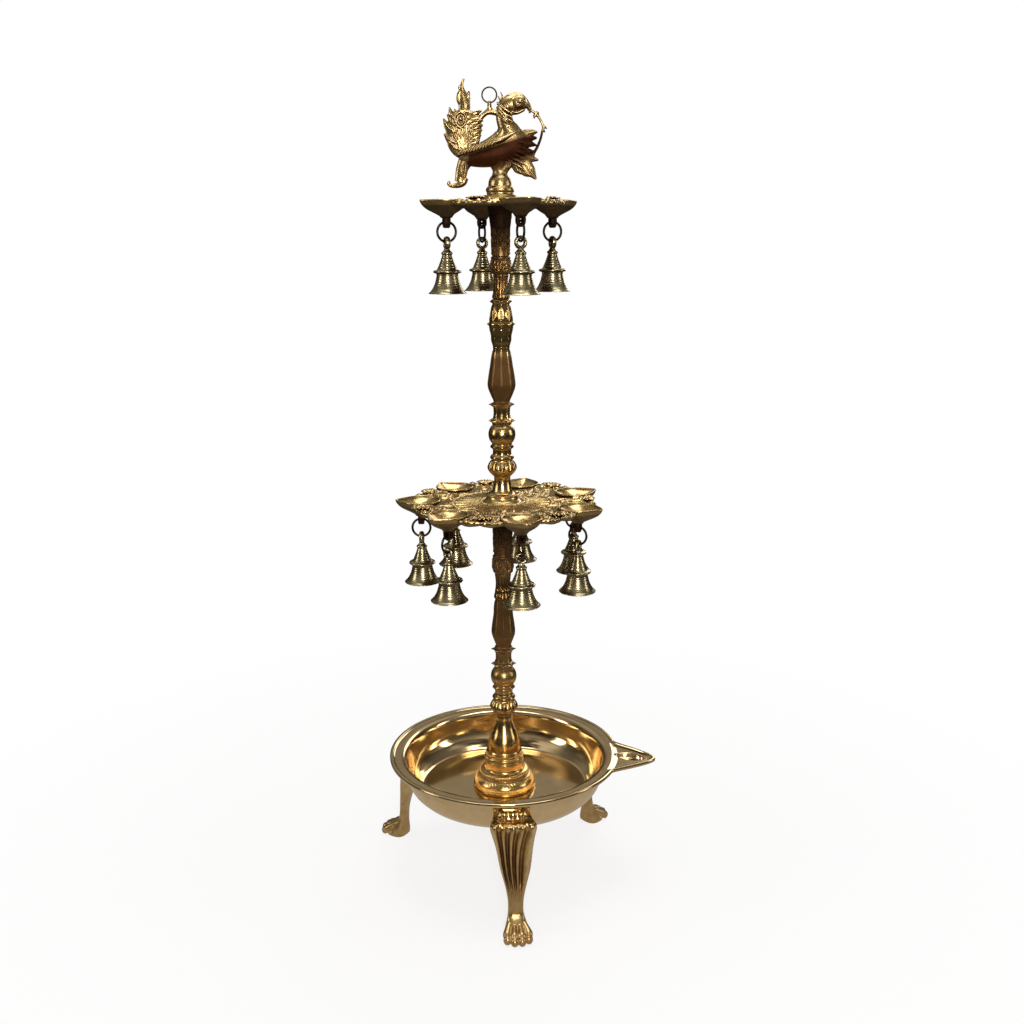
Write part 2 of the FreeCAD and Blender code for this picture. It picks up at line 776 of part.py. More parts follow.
def bell_profile():
    """Outer and inner outline of the bell's turned wall, from its loop hole down."""
    low = -dim["bell_height"]
    step = dim["bell_height"] / 100
    wall = dim["bell_wall"]
    mouth, waist = dim["bell_mouth_radius"], dim["bell_waist_radius"]
    flange, crown = dim["bell_flange_radius"], dim["bell_crown_radius"]
    top = dim["bell_top_radius"]
    return [
        (0, -(step * 17)),
        (top * 0.9, -(step * 17)),
        (top * 1.15, -(step * 20)),
        (top, -(step * 22)),
        (top * 1.5, -(step * 34)),
        (crown, -(step * 52)),
        (flange, -(step * 54)),
        (flange, -(step * 59)),
        (waist, -(step * 61)),
        (waist * 1.15, -(step * 74)),
        (mouth * 0.82, -(step * 90)),
        (mouth, low),
        (mouth - wall, low),
        (mouth * 0.82 - wall, -(step * 89)),
        (waist * 1.15 - wall, -(step * 74)),
        (waist - wall, -(step * 60)),
        (crown - wall * 1.2, -(step * 53)),
        (top * 1.5 - wall * 0.8, -(step * 36)),
        (0, -(step * 34)),
    ]


def make_bell(label, turn, hang, rim):
    body = new_body(label)
    outer = dim["loop_hole_radius"] + dim["loop_wall"]
    revolve(body, "bell_wall", bell_profile())
    loop = new_sketch(body, "loop_outline", "YZ_Plane")
    draw_circle(loop, 0, 0, outer)
    extrude(body, "loop", loop, dim["loop_thickness"], midplane=True)
    stalk = new_sketch(body, "stalk_outline", "YZ_Plane")
    draw_outline(stalk, mirrored_outline_upright([
        (dim["bell_top_radius"] * 0.8, -(dim["bell_height"] * 0.2)),
        (outer * 0.62, -(outer * 0.6)),
    ]))
    extrude(body, "stalk", stalk, dim["loop_thickness"], midplane=True)
    eye = new_sketch(body, "loop_hole_outline", "YZ_Plane")
    draw_circle(eye, 0, 0, dim["loop_hole_radius"])
    extrude(body, "loop_hole", eye, dim["loop_thickness"] + 4, "PartDesign::Pocket",
            midplane=True)
    bar = new_sketch(body, "clapper_bar_outline", "XZ_Plane")
    draw_circle(bar, 0, -dim["clapper_bar_drop"], dim["clapper_bar_radius"])
    bar_length = (dim["bell_crown_radius"] + dim["bell_top_radius"] * 1.5) * 0.9
    extrude(body, "clapper_bar", bar, bar_length, midplane=True)
    place(body, turn, hang * cosine(turn), hang * sine(turn), rim - loop_drop)


def make_clapper(label, turn, hang, rim):
    """An eye that turns on the bell's cross bar, a rod and a round striker."""
    body = new_body(label)
    eye_radius = (dim["clapper_bar_radius"] + dim["clapper_bar_gap"]
                  + dim["clapper_eye_wall"])
    ball_drop = dim["clapper_length"]
    ball = dim["clapper_ball_radius"]
    revolve(body, "striker", [
        (0, -(eye_radius * 0.8)),
        (dim["clapper_rod_radius"], -(eye_radius * 0.8)),
        (dim["clapper_rod_radius"], -(ball_drop - ball * 0.92)),
        (ball * 0.75, -(ball_drop - ball * 0.66)),
        (ball, -ball_drop),
        (ball * 0.75, -(ball_drop + ball * 0.66)),
        (0, -(ball_drop + ball)),
    ])
    eye = new_sketch(body, "eye_outline", "XZ_Plane")
    draw_circle(eye, 0, 0, eye_radius)
    extrude(body, "eye", eye, dim["clapper_eye_width"], midplane=True)
    hole = new_sketch(body, "eye_hole_outline", "XZ_Plane")
    draw_circle(hole, 0, 0, dim["clapper_bar_radius"] + dim["clapper_bar_gap"])
    extrude(body, "eye_hole", hole, dim["clapper_eye_width"] + 2, "PartDesign::Pocket",
            midplane=True)
    drop = loop_drop + dim["clapper_bar_drop"]
    place(body, turn, hang * cosine(turn), hang * sine(turn), rim - drop)


def make_bell_sets(tier, hub_under):
    count = int(dim[tier + "_cup_count"].value)
    hang = dim[tier + "_hang_radius"]
    rim = hub_under + dim["hub_to_rim"]
    for number in range(count):
        turn = dim[tier + "_first_turn"] + Size(360 * number, f"(360 * {number})") / Size(
            count, dim[tier + "_cup_count"].text)
        name = f"{tier}_%s_{number + 1}"
        make_ring(name % "ring", turn, hang, rim)
        make_bell(name % "bell", turn, hang, rim)
        make_clapper(name % "clapper", turn, hang, rim)


# ---------------------------------------------------------------- peacock finial

def make_finial():
    """A flat-cast peacock on a turned bead: body, neck, head, train and scrolls.

    Its outlines are given as (across, up) in hundredths of the finial's height.
    """
    unit = dim["finial_height"] / 100
    plates = {
        "train": [(-22, 38), (-40, 33), (-50, 47), (-51, 62), (-44, 72), (-37, 75),
                  (-27, 74), (-16, 70), (-18, 56), (-16, 45)],
        "flame": [(-38, 73), (-39, 85), (-34, 100), (-29, 87), (-26, 72)],
        "tail_scroll": [(-20, 35), (-29, 33), (-41, 24), (-47, 11), (-46, 7), (-41, 8),
                        (-33, 13), (-25, 23), (-16, 28)],
        "vine": [(24, 77), (33, 74), (41, 64), (42, 56), (40, 47), (40, 36), (35, 20),
                 (33, 13), (30, 22), (24, 30), (20, 40), (31, 46), (36, 54), (35, 60),
                 (28, 68), (22, 70)],
    }
    pieces = []
    for name, outline in plates.items():
        corners = [(unit * across, unit * up) for across, up in outline]
        sketch = plain_sketch(name + "_outline", corners, "y")
        pieces.append(plate(name, sketch, dim["finial_plate"]))

    def ellipsoid(name, across, up, half_x, half_y, half_z, tilt):
        item = doc.addObject("Part::Ellipsoid", name)
        for prop, share in (("Radius1", half_z), ("Radius2", half_x), ("Radius3", half_y)):
            setattr(item, prop, (unit * share).value)
            item.setExpression(prop, (unit * share).text)
        item.Placement = Placement(Vector((unit * across).value, 0, (unit * up).value),
                                   Rotation(Vector(0, 1, 0), tilt))
        item.setExpression("Placement.Base.x", (unit * across).text)
        item.setExpression("Placement.Base.z", (unit * up).text)
        pieces.append(item)

    ellipsoid("breast", -4, 41, 35, 12, 13, -12)
    ellipsoid("head", 15, 79, 12, 8, 9, 0)

    def rod(name, start, end, first_radius, last_radius):
        """A tapering bar between two points given in hundredths of the height."""
        run = Vector(end[0] - start[0], 0, end[1] - start[1])
        item = doc.addObject("Part::Cone", name)
        for prop, size in (("Radius1", unit * first_radius), ("Radius2", unit * last_radius),
                           ("Height", unit * run.Length)):
            setattr(item, prop, size.value)
            item.setExpression(prop, size.text)
        item.Placement = Placement(
            Vector((unit * start[0]).value, 0, (unit * start[1]).value),
            Rotation(UP, run))
        item.setExpression("Placement.Base.x", (unit * start[0]).text)
        item.setExpression("Placement.Base.z", (unit * start[1]).text)
        pieces.append(item)

    rod("neck", (7, 44), (12, 78), 11.5, 7.5)
    rod("arch", (-20, 69), (8, 70), 2.4, 2.5)
    rod("ring_stub", (-9, 69), (-9, 80), 2.2, 1.8)

    bead = dim["finial_bead_radius"]
    stem = new_body("finial_bead", is_part=False)
    revolve(stem, "bead_turning", [
        (socket_radius, 0), (bead * 0.9, 0), (bead, unit * 3), (bead, unit * 8),
        (bead * 0.8, unit * 11), (bead * 0.6, unit * 17), (bead * 0.75, unit * 24),
        (bead * 0.8, unit * 34), (0, unit * 34), (0, socket_depth),
        (socket_radius, socket_depth),
    ])
    finial = doc.addObject("Part::MultiFuse", "peacock_finial")
    finial.Shapes = [stem] + pieces
    finial.Label = "peacock_finial"
    place(finial, z=upper_hub_top)
    parts["peacock_finial"] = finial

    ring = doc.addObject("Part::Torus", "hanging_ring")
    ring.Label = "hanging_ring"
    for prop, size in (("Radius1", dim["back_ring_radius"]),
                       ("Radius2", dim["back_ring_wire"])):
        setattr(ring, prop, size.value)
        ring.setExpression(prop, size.text)
    stub_top = unit * 80
    across = unit * -9
    centre = upper_hub_top + stub_top + dim["back_ring_radius"] - dim["back_ring_wire"]
    ring.Placement = Placement(Vector(across.value, 0, centre.value),
                               Rotation(Vector(1, 0, 0), 90))
    ring.setExpression("Placement.Base.x", across.text)
    ring.setExpression("Placement.Base.z", centre.text)
    parts["hanging_ring"] = ring


# ---------------------------------------------------------------- build, check, write

def check_and_write():
    doc.recompute()
    for item in doc.Objects:
        if "Invalid" in item.State or "Error" in item.State:
            raise RuntimeError(f"{item.Label} failed: {item.State}")
    os.makedirs("parts", exist_ok=True)
    for label, item in parts.items():
        shape = item.Shape
        if shape.isNull() or not shape.isValid() or len(shape.Solids) != 1:
            raise RuntimeError(f"{label} is not one valid solid")
        shape.exportStep(f"parts/{label}.step")
        print(f"{label}: {shape.Volume:.0f} mm3")


make_basin()
for leg_name in ("leg_front", "leg_right", "leg_left"):
    make_leg(leg_name, dim[leg_name + "_turn"])
make_pedestal()
make_base_fixing()
make_balusters()
make_vase()
make_column("lower_leaf_column", dim["lower_column_height"], lower_column_foot,
            dim["lower_column_radius"])
make_column("upper_leaf_column", dim["upper_column_height"], upper_column_foot,
            dim["upper_column_radius"])
make_tray("lower_tray", "lower", lower_hub_under)
make_tray("upper_tray", "upper", upper_hub_under)
make_bell_sets("lower", lower_hub_under)
make_bell_sets("upper", upper_hub_under)
make_finial()
check_and_write()
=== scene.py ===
import json
import math

import bpy
import numpy as np
from mathutils import Matrix, Vector


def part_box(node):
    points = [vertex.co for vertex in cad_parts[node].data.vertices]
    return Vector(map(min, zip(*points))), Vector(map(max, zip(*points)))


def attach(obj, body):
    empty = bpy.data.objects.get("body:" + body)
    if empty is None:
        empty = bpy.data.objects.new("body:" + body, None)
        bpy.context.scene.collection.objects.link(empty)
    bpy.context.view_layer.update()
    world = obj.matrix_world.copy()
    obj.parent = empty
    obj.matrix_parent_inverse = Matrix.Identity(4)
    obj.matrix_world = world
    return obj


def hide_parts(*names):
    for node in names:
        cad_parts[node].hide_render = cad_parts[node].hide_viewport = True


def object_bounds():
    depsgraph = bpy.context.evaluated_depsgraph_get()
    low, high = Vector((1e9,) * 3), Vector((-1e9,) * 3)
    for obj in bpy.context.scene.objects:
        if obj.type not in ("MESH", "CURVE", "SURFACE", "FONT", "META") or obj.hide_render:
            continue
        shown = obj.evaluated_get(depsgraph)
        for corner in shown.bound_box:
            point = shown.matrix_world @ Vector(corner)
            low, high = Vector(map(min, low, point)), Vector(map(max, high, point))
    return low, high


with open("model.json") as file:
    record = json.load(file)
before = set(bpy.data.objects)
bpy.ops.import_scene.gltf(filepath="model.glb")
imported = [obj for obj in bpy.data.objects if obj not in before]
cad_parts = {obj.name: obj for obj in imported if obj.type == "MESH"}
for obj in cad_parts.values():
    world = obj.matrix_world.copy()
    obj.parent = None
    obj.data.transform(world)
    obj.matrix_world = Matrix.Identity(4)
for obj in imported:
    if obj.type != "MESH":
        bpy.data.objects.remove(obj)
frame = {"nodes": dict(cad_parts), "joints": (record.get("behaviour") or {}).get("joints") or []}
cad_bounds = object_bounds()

# Shapes are worked out in millimetres and become metres when a mesh is made.
MM = 0.001
TAU = 2 * math.pi
joints = {joint["child"]: joint for joint in frame["joints"]}


# ------------------------------------------------------------------ places from the frame

def low(node):
    return np.array(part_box(node)[0]) / MM


def high(node):
    return np.array(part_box(node)[1]) / MM


# ------------------------------------------------------------------ mesh building

def show(name, data):
    """Put a mesh, a light or a camera into the scene as an object."""
    shown = bpy.data.objects.new(name, data)
    bpy.context.scene.collection.objects.link(shown)
    return shown


def new_piece(name, points, faces, material=None):
    """Make an object from points in millimetres and give it its material."""
    mesh = bpy.data.meshes.new(name)
    mesh.from_pydata((np.asarray(points, dtype=float) * MM).tolist(), [], faces)
    mesh.update()
    mesh.polygons.foreach_set("use_smooth", [True] * len(mesh.polygons))
    if material is not None:
        mesh.materials.append(material)
    return show(name, mesh)


class Shell:
    """Points and faces gathered from several closed surfaces."""

    def __init__(self):
        self.points = []
        self.faces = []
        self.count = 0

    def add(self, points, faces, flip=False):
        """Add a surface; flip makes its faces look the other way."""
        points = np.asarray(points, dtype=float)
        self.points.append(points)
        order = -1 if flip else 1
        self.faces.extend([tuple(int(i) + self.count for i in face[::order])
                           for face in faces])
        self.count += len(points)

    def piece(self, name, material):
        return new_piece(name, np.vstack(self.points), self.faces, material)


def grid_faces(rows, columns, wrap_rows):
    faces = []
    for row in range(rows if wrap_rows else rows - 1):
        below = row * columns
        above = ((row + 1) % rows) * columns
        for column in range(columns):
            following = (column + 1) % columns
            faces.append((below + column, below + following,
                          above + following, above + column))
    return faces


def surface(grid, closed_rows=False):
    """Faces over a (rows, columns, 3) array that wraps round along its columns.

    Unless its rows wrap too, the first and last rows are closed with a fan.
    """
    rows, columns, _ = grid.shape
    points = grid.reshape(-1, 3)
    faces = grid_faces(rows, columns, closed_rows)
    if not closed_rows:
        first = len(points)
        points = np.vstack([points, grid[0].mean(axis=0), grid[-1].mean(axis=0)])
        last_row = (rows - 1) * columns
        for column in range(columns):
            following = (column + 1) % columns
            faces.append((first, following, column))
            faces.append((first + 1, last_row + column, last_row + following))
    return points, faces


def smooth_line(stations, step):
    """A Catmull-Rom line through the stations, sampled about every step."""
    stations = np.asarray(stations, dtype=float)
    if len(stations) == 2:
        count = max(1, int(np.linalg.norm(stations[1] - stations[0]) / step))
        return stations[0] + (stations[1] - stations[0]) * np.linspace(0, 1, count + 1)[:, None]
    padded = np.vstack([2 * stations[0] - stations[1], stations,
                        2 * stations[-1] - stations[-2]])
    line = []
    for i in range(1, len(padded) - 2):
        before, start, end, after = padded[i - 1:i + 3]
        count = max(2, int(np.linalg.norm(end - start) / step))
        t = np.linspace(0, 1, count, endpoint=False)[:, None]
        line.append(0.5 * (2 * start + (end - before) * t
                           + (2 * before - 5 * start + 4 * end - after) * t ** 2
                           + (3 * start - before - 3 * end + after) * t ** 3))
    line.append(stations[-1:])
    return np.vstack(line)


def outline(strokes, step):
    """Join strokes that are smooth in themselves and meet at corners.

    Each stroke after the first starts at the end of the one before it.
    """
    lines = [smooth_line(strokes[0], step)]
    for before, stroke in zip(strokes, strokes[1:]):
        lines.append(smooth_line([before[-1], *stroke], step)[1:])
    return np.vstack(lines)


def lathe_grid(profile, columns, shape=None):
    """Turn a (radius, height) profile about Z; shape may change the radius."""
    angle = np.arange(columns) * TAU / columns
    radius = np.repeat(profile[:, :1], columns, axis=1)
    height = np.repeat(profile[:, 1:2], columns, axis=1)
    turn = np.repeat(angle[None, :], len(profile), axis=0)
    if shape is not None:
        radius = shape(radius, height, turn)
    return np.stack([radius * np.cos(turn), radius * np.sin(turn), height], axis=2)


def sweep(path, across, deep, sides=12, depth=(0, 1, 0)):
    """A tapering bar of oval section along a path, closed at both ends.

    deep is its half thickness along the depth direction, across the half width
    square to that and to the path.
    """
    path = np.asarray(path, dtype=float)
    across = np.broadcast_to(np.asarray(across, dtype=float), (len(path),))
    deep = np.broadcast_to(np.asarray(deep, dtype=float), (len(path),))
    along = np.gradient(path, axis=0)
    along /= np.maximum(np.linalg.norm(along, axis=1, keepdims=True), 1e-9)
    depth_axis = np.tile(np.asarray(depth, dtype=float), (len(path), 1))
    depth_axis -= along * np.sum(depth_axis * along, axis=1, keepdims=True)
    depth_axis /= np.maximum(np.linalg.norm(depth_axis, axis=1, keepdims=True), 1e-9)
    side_axis = np.cross(along, depth_axis)
    angle = np.arange(sides) * TAU / sides
    grid = (path[:, None, :]
            + side_axis[:, None, :] * (across[:, None] * np.cos(angle))[:, :, None]
            + depth_axis[:, None, :] * (deep[:, None] * np.sin(angle))[:, :, None])
    return surface(grid)


def leaf_widths(count, widest=0.45, tip=0.02):
    """Half widths of a pointed leaf from 0 at its foot to 1 at its widest."""
    t = np.linspace(0, 1, count)
    rise = np.sin(np.clip(t / widest, 0, 1) * math.pi / 2)
    fall = np.cos(np.clip((t - widest) / (1 - widest), 0, 1) * math.pi / 2)
    return np.maximum(np.minimum(rise, fall), tip)


def ellipsoid(centre, radii, sides=20, rings=12, rotation=None):
    """A closed egg shape, turned by rotation before it is moved to its centre."""
    polar = np.linspace(0.02, math.pi - 0.02, rings)
    around = np.arange(sides) * TAU / sides
    grid = np.stack([
        np.sin(polar)[:, None] * np.cos(around)[None, :] * radii[0],
        np.sin(polar)[:, None] * np.sin(around)[None, :] * radii[1],
        np.cos(polar)[:, None] * np.ones(sides)[None, :] * radii[2]], axis=2)
    if rotation is not None:
        grid = grid @ np.array(rotation.to_3x3()).T
    return surface(grid[::-1] + np.asarray(centre, dtype=float))


def torus(centre, radius, wire_across, wire_deep, axis_turn, around=48, sides=12):
    """A wire ring in the upright plane that holds the direction axis_turn."""
    turn = np.arange(around) * TAU / around
    section = np.arange(sides) * TAU / sides
    out = np.array([math.cos(axis_turn), math.sin(axis_turn), 0])
    side = np.array([-math.sin(axis_turn), math.cos(axis_turn), 0])
    reach = radius + wire_across * np.cos(section)
    grid = ((np.cos(turn)[:, None] * reach[None, :])[:, :, None] * out
            + (np.sin(turn)[:, None] * reach[None, :])[:, :, None] * np.array([0, 0, 1])
            + (np.ones(around)[:, None] * (wire_deep * np.sin(section))[None, :])[:, :, None]
            * side)
    return surface(grid + np.asarray(centre, dtype=float), closed_rows=True)


def remesh(piece, voxel, rounds=2, factor=0.5):
    """Fuse a piece's overlapping surfaces into one skin and smooth it slightly."""
    modifier = piece.modifiers.new("fuse", "REMESH")
    modifier.mode = "VOXEL"
    modifier.voxel_size = voxel * MM
    modifier.use_smooth_shade = True
    relax = piece.modifiers.new("relax", "SMOOTH")
    relax.factor = factor
    relax.iterations = rounds
    depsgraph = bpy.context.evaluated_depsgraph_get()
    mesh = bpy.data.meshes.new_from_object(piece.evaluated_get(depsgraph))
    piece.modifiers.clear()
    piece.data = mesh
    mesh.polygons.foreach_set("use_smooth", [True] * len(mesh.polygons))


def dress(piece, material):
    """Give a piece one material and no other."""
    piece.data.materials.clear()
    piece.data.materials.append(material)


def finish_piece(piece, body, replaced):
    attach(piece, body)
    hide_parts(replaced)


# ------------------------------------------------------------------ relief drawing

def ridge(x, y, path, width, height):
    """Height of a rounded ridge along a path, over arrays of places x and y."""
    path = np.asarray(path, dtype=float)
    raised = np.zeros_like(x)
    widths = np.broadcast_to(np.asarray(width, dtype=float), (len(path),))
    for i in range(len(path) - 1):
        start, run = path[i], path[i + 1] - path[i]
        length = max(float(run @ run), 1e-9)
        t = np.clip(((x - start[0]) * run[0] + (y - start[1]) * run[1]) / length, 0, 1)
        gap = np.hypot(x - start[0] - t * run[0], y - start[1] - t * run[1])
        half = widths[i] + (widths[i + 1] - widths[i]) * t
        raised = np.maximum(raised, height * np.sqrt(np.clip(1 - (gap / half) ** 2, 0, 1)))
    return raised


def relief(x, y, strokes):
    """The highest of several ridges, each (path, half width, height)."""
    raised = np.zeros_like(x)
    for path, width, height in strokes:
        raised = np.maximum(raised, ridge(x, y, path, width, height))
    return raised


def spiral(centre, radius, turns, start, count=18, hand=1):
    """A scroll that winds in from its outside to its eye."""
    t = np.linspace(0, 1, count)
    angle = start + hand * t * turns * TAU
    reach = radius * (1 - 0.86 * t)
    return np.stack([centre[0] + reach * np.cos(angle),
                     centre[1] + reach * np.sin(angle)], axis=1)


def polygon_share(angle, sides, phase=0.0):
    """Radius of a regular polygon over that of its corners, by direction."""
    step = TAU / sides
    return math.cos(step / 2) / np.cos(np.mod(angle + phase, step) - step / 2)


def smoothstep(value, start, end):
    t = np.clip((value - start) / (end - start), 0, 1)
    return t * t * (3 - 2 * t)


# ------------------------------------------------------------------ materials

class Nodes:
    """A short way to add and join shader nodes."""

    def __init__(self, owner):
        owner.use_nodes = True
        self.tree = owner.node_tree
        self.tree.nodes.clear()

    def feed(self, socket, value):
        """Join an output to a socket, or set the socket to a number or a colour."""
        if isinstance(value, bpy.types.NodeSocket):
            self.tree.links.new(value, socket)
        elif np.isscalar(value):
            socket.default_value = value
        else:
            socket.default_value = (*value, 1)

    def add(self, kind, **settings):
        """A node; settings that start with in_ feed the input of that name."""
        node = self.tree.nodes.new(kind)
        for key, value in settings.items():
            if key.startswith("in_"):
                self.feed(node.inputs[key[3:].replace("_", " ")], value)
            else:
                setattr(node, key, value)
        return node

    def ramp(self, factor, stops):
        node = self.add("ShaderNodeValToRGB", in_Fac=factor)
        ramp = node.color_ramp
        while len(ramp.elements) < len(stops):
            ramp.elements.new(0.5)
        for element, (place, value) in zip(ramp.elements, stops):
            element.position = place
            element.color = (value, value, value, 1) if np.isscalar(value) else (*value, 1)
        return node.outputs["Color"]

    def mix(self, factor, first, second, blend="MIX"):
        node = self.add("ShaderNodeMix", data_type="RGBA", blend_type=blend)
        for value, number in ((factor, 0), (first, 6), (second, 7)):
            self.feed(node.inputs[number], value)
        return node.outputs[2]

    def mix_shader(self, factor, first, second):
        node = self.add("ShaderNodeMixShader")
        for number, value in enumerate((factor, first, second)):
            self.feed(node.inputs[number], value)
        return node.outputs[0]

    def math(self, operation, first, second=0.0, clamp=False):
        node = self.add("ShaderNodeMath", operation=operation, use_clamp=clamp)
        self.feed(node.inputs[0], first)
        self.feed(node.inputs[1], second)
        return node.outputs[0]

    def axis(self, vector, name):
        return self.add("ShaderNodeSeparateXYZ", in_Vector=vector).outputs[name]


def brass(name, bright, dull, lacquer_and_shade_colour, roughness, patina_reach, patina_strength,
          grain, cast_bump, underside_painted_shade, turned_lines=0.0, shade=(), shade_lean=0.0,
          shade_start=None):
    """Brass with wear, brown lacquer in its recesses and painted shade on its undersides.

    patina_reach is in millimetres; grain is the noise scale per metre; turned_lines
    adds fine rings square to Z. shade lists (height in metres, darkness) stops of
    darkening by height, painted shade for trays, columns, legs and finial; shade_lean
    tilts those levels to rise towards +X, and shade_start is where along X it begins.
    """
    material = bpy.data.materials.new(name)
    tree = Nodes(material)
    place = tree.add("ShaderNodeTexCoord").outputs["Object"]
    coarse = tree.add("ShaderNodeTexNoise", in_Scale=grain * 0.12, in_Detail=5.0,
                      in_Roughness=0.6, in_Vector=place).outputs["Fac"]
    fine = tree.add("ShaderNodeTexNoise", in_Scale=grain, in_Detail=6.0,
                    in_Roughness=0.65, in_Vector=place).outputs["Fac"]
    metal = tree.mix(tree.ramp(coarse, [(0.32, 0.0), (0.68, 1.0)]), bright, dull)

    # lacquer lies where the surface is hemmed in, in a speckled edge
    occlusion = tree.add("ShaderNodeAmbientOcclusion", samples=8, only_local=True,
                         in_Distance=patina_reach * MM)
    hidden = tree.math("SUBTRACT", 1.0, occlusion.outputs["AO"], clamp=True)
    speckle = tree.math("MULTIPLY", tree.math("SUBTRACT", fine, 0.5), 0.5)
    recess = tree.ramp(tree.math("ADD", hidden, speckle), [(0.16, 0.0), (0.50, 1.0)])
    recess = tree.math("MULTIPLY", recess, patina_strength)

    # painted shade: undersides are darker
    normal = tree.add("ShaderNodeNewGeometry").outputs["Normal"]
    down = tree.math("MULTIPLY", tree.axis(normal, "Z"), -1.0)
    down = tree.ramp(down, [(0.10, 0.0), (0.62, 1.0)])
    dark = tree.math("MAXIMUM", recess, tree.math("MULTIPLY", down, underside_painted_shade))
    # darkening by height: painted shade for the trays, columns, legs and finial; the stem uses it
    # for its darker facets
    if shade:
        leaning = tree.math("MULTIPLY", tree.axis(place, "X"), -shade_lean)
        darkening_by_height = tree.ramp(tree.math("ADD", tree.axis(place, "Z"), leaning), shade)
        if shade_start is not None:
            along = tree.math("ADD", tree.axis(place, "X"), -shade_start)
            darkening_by_height = tree.math("MULTIPLY", darkening_by_height, tree.math("MULTIPLY", along, 200.0, clamp=True))
        dark = tree.math("MAXIMUM", dark, darkening_by_height)

    rough = tree.math("ADD", tree.math("MULTIPLY", fine, 0.10), roughness - 0.05)
    height = tree.math("ADD", tree.math("MULTIPLY", fine, cast_bump * 0.5),
                       tree.math("MULTIPLY", coarse, cast_bump * 2.0))
    if turned_lines > 0:
        rings = tree.add("ShaderNodeTexWave", wave_type="BANDS", bands_direction="Z",
                         in_Scale=turned_lines, in_Distortion=0.15, in_Detail=1.0,
                         in_Vector=place)
        height = tree.math("ADD", height, tree.math("MULTIPLY", rings.outputs["Fac"], 0.45))
    bump = tree.add("ShaderNodeBump", in_Strength=0.6, in_Distance=0.00035, in_Height=height)
    shader = tree.add(
        "ShaderNodeBsdfPrincipled",
        in_Base_Color=tree.mix(dark, metal, lacquer_and_shade_colour),
        in_Metallic=tree.math("SUBTRACT", 1.0, tree.math("MULTIPLY", dark, 0.12)),
        in_Roughness=tree.math("ADD", rough, tree.math("MULTIPLY", dark, 0.30), clamp=True),
        in_Normal=bump.outputs["Normal"])
    tree.add("ShaderNodeOutputMaterial", in_Surface=shader.outputs["BSDF"])
    return material


# darkness by height as (height in metres, darkness): darker from the lower baluster's collar up
# through its long facets, and over the upper baluster's long facets
STEM_SHADE = [(0.195, 0.0), (0.232, 0.40), (0.262, 0.86), (0.318, 0.90), (0.330, 0.5),
              (0.420, 0.0), (0.512, 0.0), (0.520, 0.86), (0.566, 0.86), (0.574, 0.0)]
# each tier's painted shade: under is how dark the undersides are painted, tray holds (height in
# metres, darkness) stops of painted shade below the tray's top, and column those of painted shadow
# on the column's top under the tray
TIER_SHADES = {
    "lower": {"under": 0.85, "tray": [(0.4040, 1.0), (0.4110, 0.0)],
              "column": [(0.335, 0.0), (0.355, 0.65), (0.392, 1.0)]},
    "upper": {"under": 0.92, "tray": [(0.7040, 1.0), (0.7120, 0.0)],
              "column": [(0.655, 0.0), (0.672, 0.60), (0.694, 1.0)]},
}


def make_materials():
    """Each brass: bright and dull metal, lacquer and painted shade colour, roughness,
    lacquer reach and strength, grain, cast bump and painted shade on undersides."""
    brown, black = (0.13, 0.054, 0.017), (0.036, 0.015, 0.006)
    made = {
        "mirror": brass("mirror_brass", (0.84, 0.64, 0.36), (0.76, 0.56, 0.30),
                        (0.10, 0.05, 0.02), 0.12, 6.0, 0.55, 500.0, 0.05, 0.0),
        "stem": brass("stem_brass", (0.76, 0.53, 0.23), (0.56, 0.34, 0.11), brown,
                      0.20, 5.0, 1.0, 1400.0, 0.5, 0.6, shade=STEM_SHADE),
        # painted shade: the finial's hull is dark below its rim band, on levels that rise towards
        # +X, stopping short of the tail foot
        "finial": brass("finial_brass", (0.66, 0.49, 0.24), (0.46, 0.305, 0.12),
                        (0.060, 0.017, 0.005), 0.27, 3.5, 1.0, 1500.0, 0.9, 1.0,
                        shade=[(0.7440, 0.0), (0.7520, 1.0), (0.7700, 1.0), (0.7740, 0.0)],
                        shade_lean=0.3, shade_start=-0.0345),
        # painted shade: the legs darken towards the floor over the ankles and paws
        "leg": brass("leg_brass", (0.82, 0.60, 0.29), (0.62, 0.40, 0.15), brown,
                     0.18, 6.0, 1.0, 1200.0, 0.35, 0.4,
                     shade=[(0.0, 0.38), (0.048, 0.32), (0.085, 0.0)]),
        "bell": brass("bell_brass", (0.60, 0.51, 0.31), (0.36, 0.285, 0.145),
                      (0.045, 0.027, 0.014), 0.25, 6.0, 0.85, 900.0, 0.03, 0.95,
                      turned_lines=130.0),
        "wire": brass("ring_wire", (0.060, 0.042, 0.028), (0.035, 0.024, 0.016),
                      (0.02, 0.012, 0.008), 0.33, 2.0, 0.5, 2500.0, 0.5, 0.2),
        "zinc": brass("zinc_plate", (0.60, 0.60, 0.58), (0.52, 0.52, 0.50),
                      (0.08, 0.07, 0.06), 0.30, 2.0, 0.4, 1500.0, 0.3, 0.0),
    }
    for tier, shades in TIER_SHADES.items():
        # each tray and column takes its tier's painted shade and painted shadow
        made[tier + "_tray"] = brass(
            tier + "_tray_brass", (0.78, 0.56, 0.25), (0.60, 0.41, 0.16), black,
            0.24, 3.5, 1.0, 1600.0, 0.6, shades["under"], shade=shades["tray"])
        made[tier + "_column"] = brass(
            tier + "_column_brass", (0.50, 0.29, 0.11), (0.25, 0.13, 0.043), black,
            0.26, 5.0, 1.0, 1500.0, 0.6, 0.8, shade=shades["column"])
    return made


# ------------------------------------------------------------------ oil basin

FLANGE = 16.0
WALL = 2.6
LIP = 1.5
SPOUT_TURN = math.radians(-7.5)
SPOUT_HALF_ANGLE = math.radians(17.0)
SPOUT_REACH = 39.5
SPOUT_BLUNT = 0.16
SPOUT_HOLLOW = 1.35
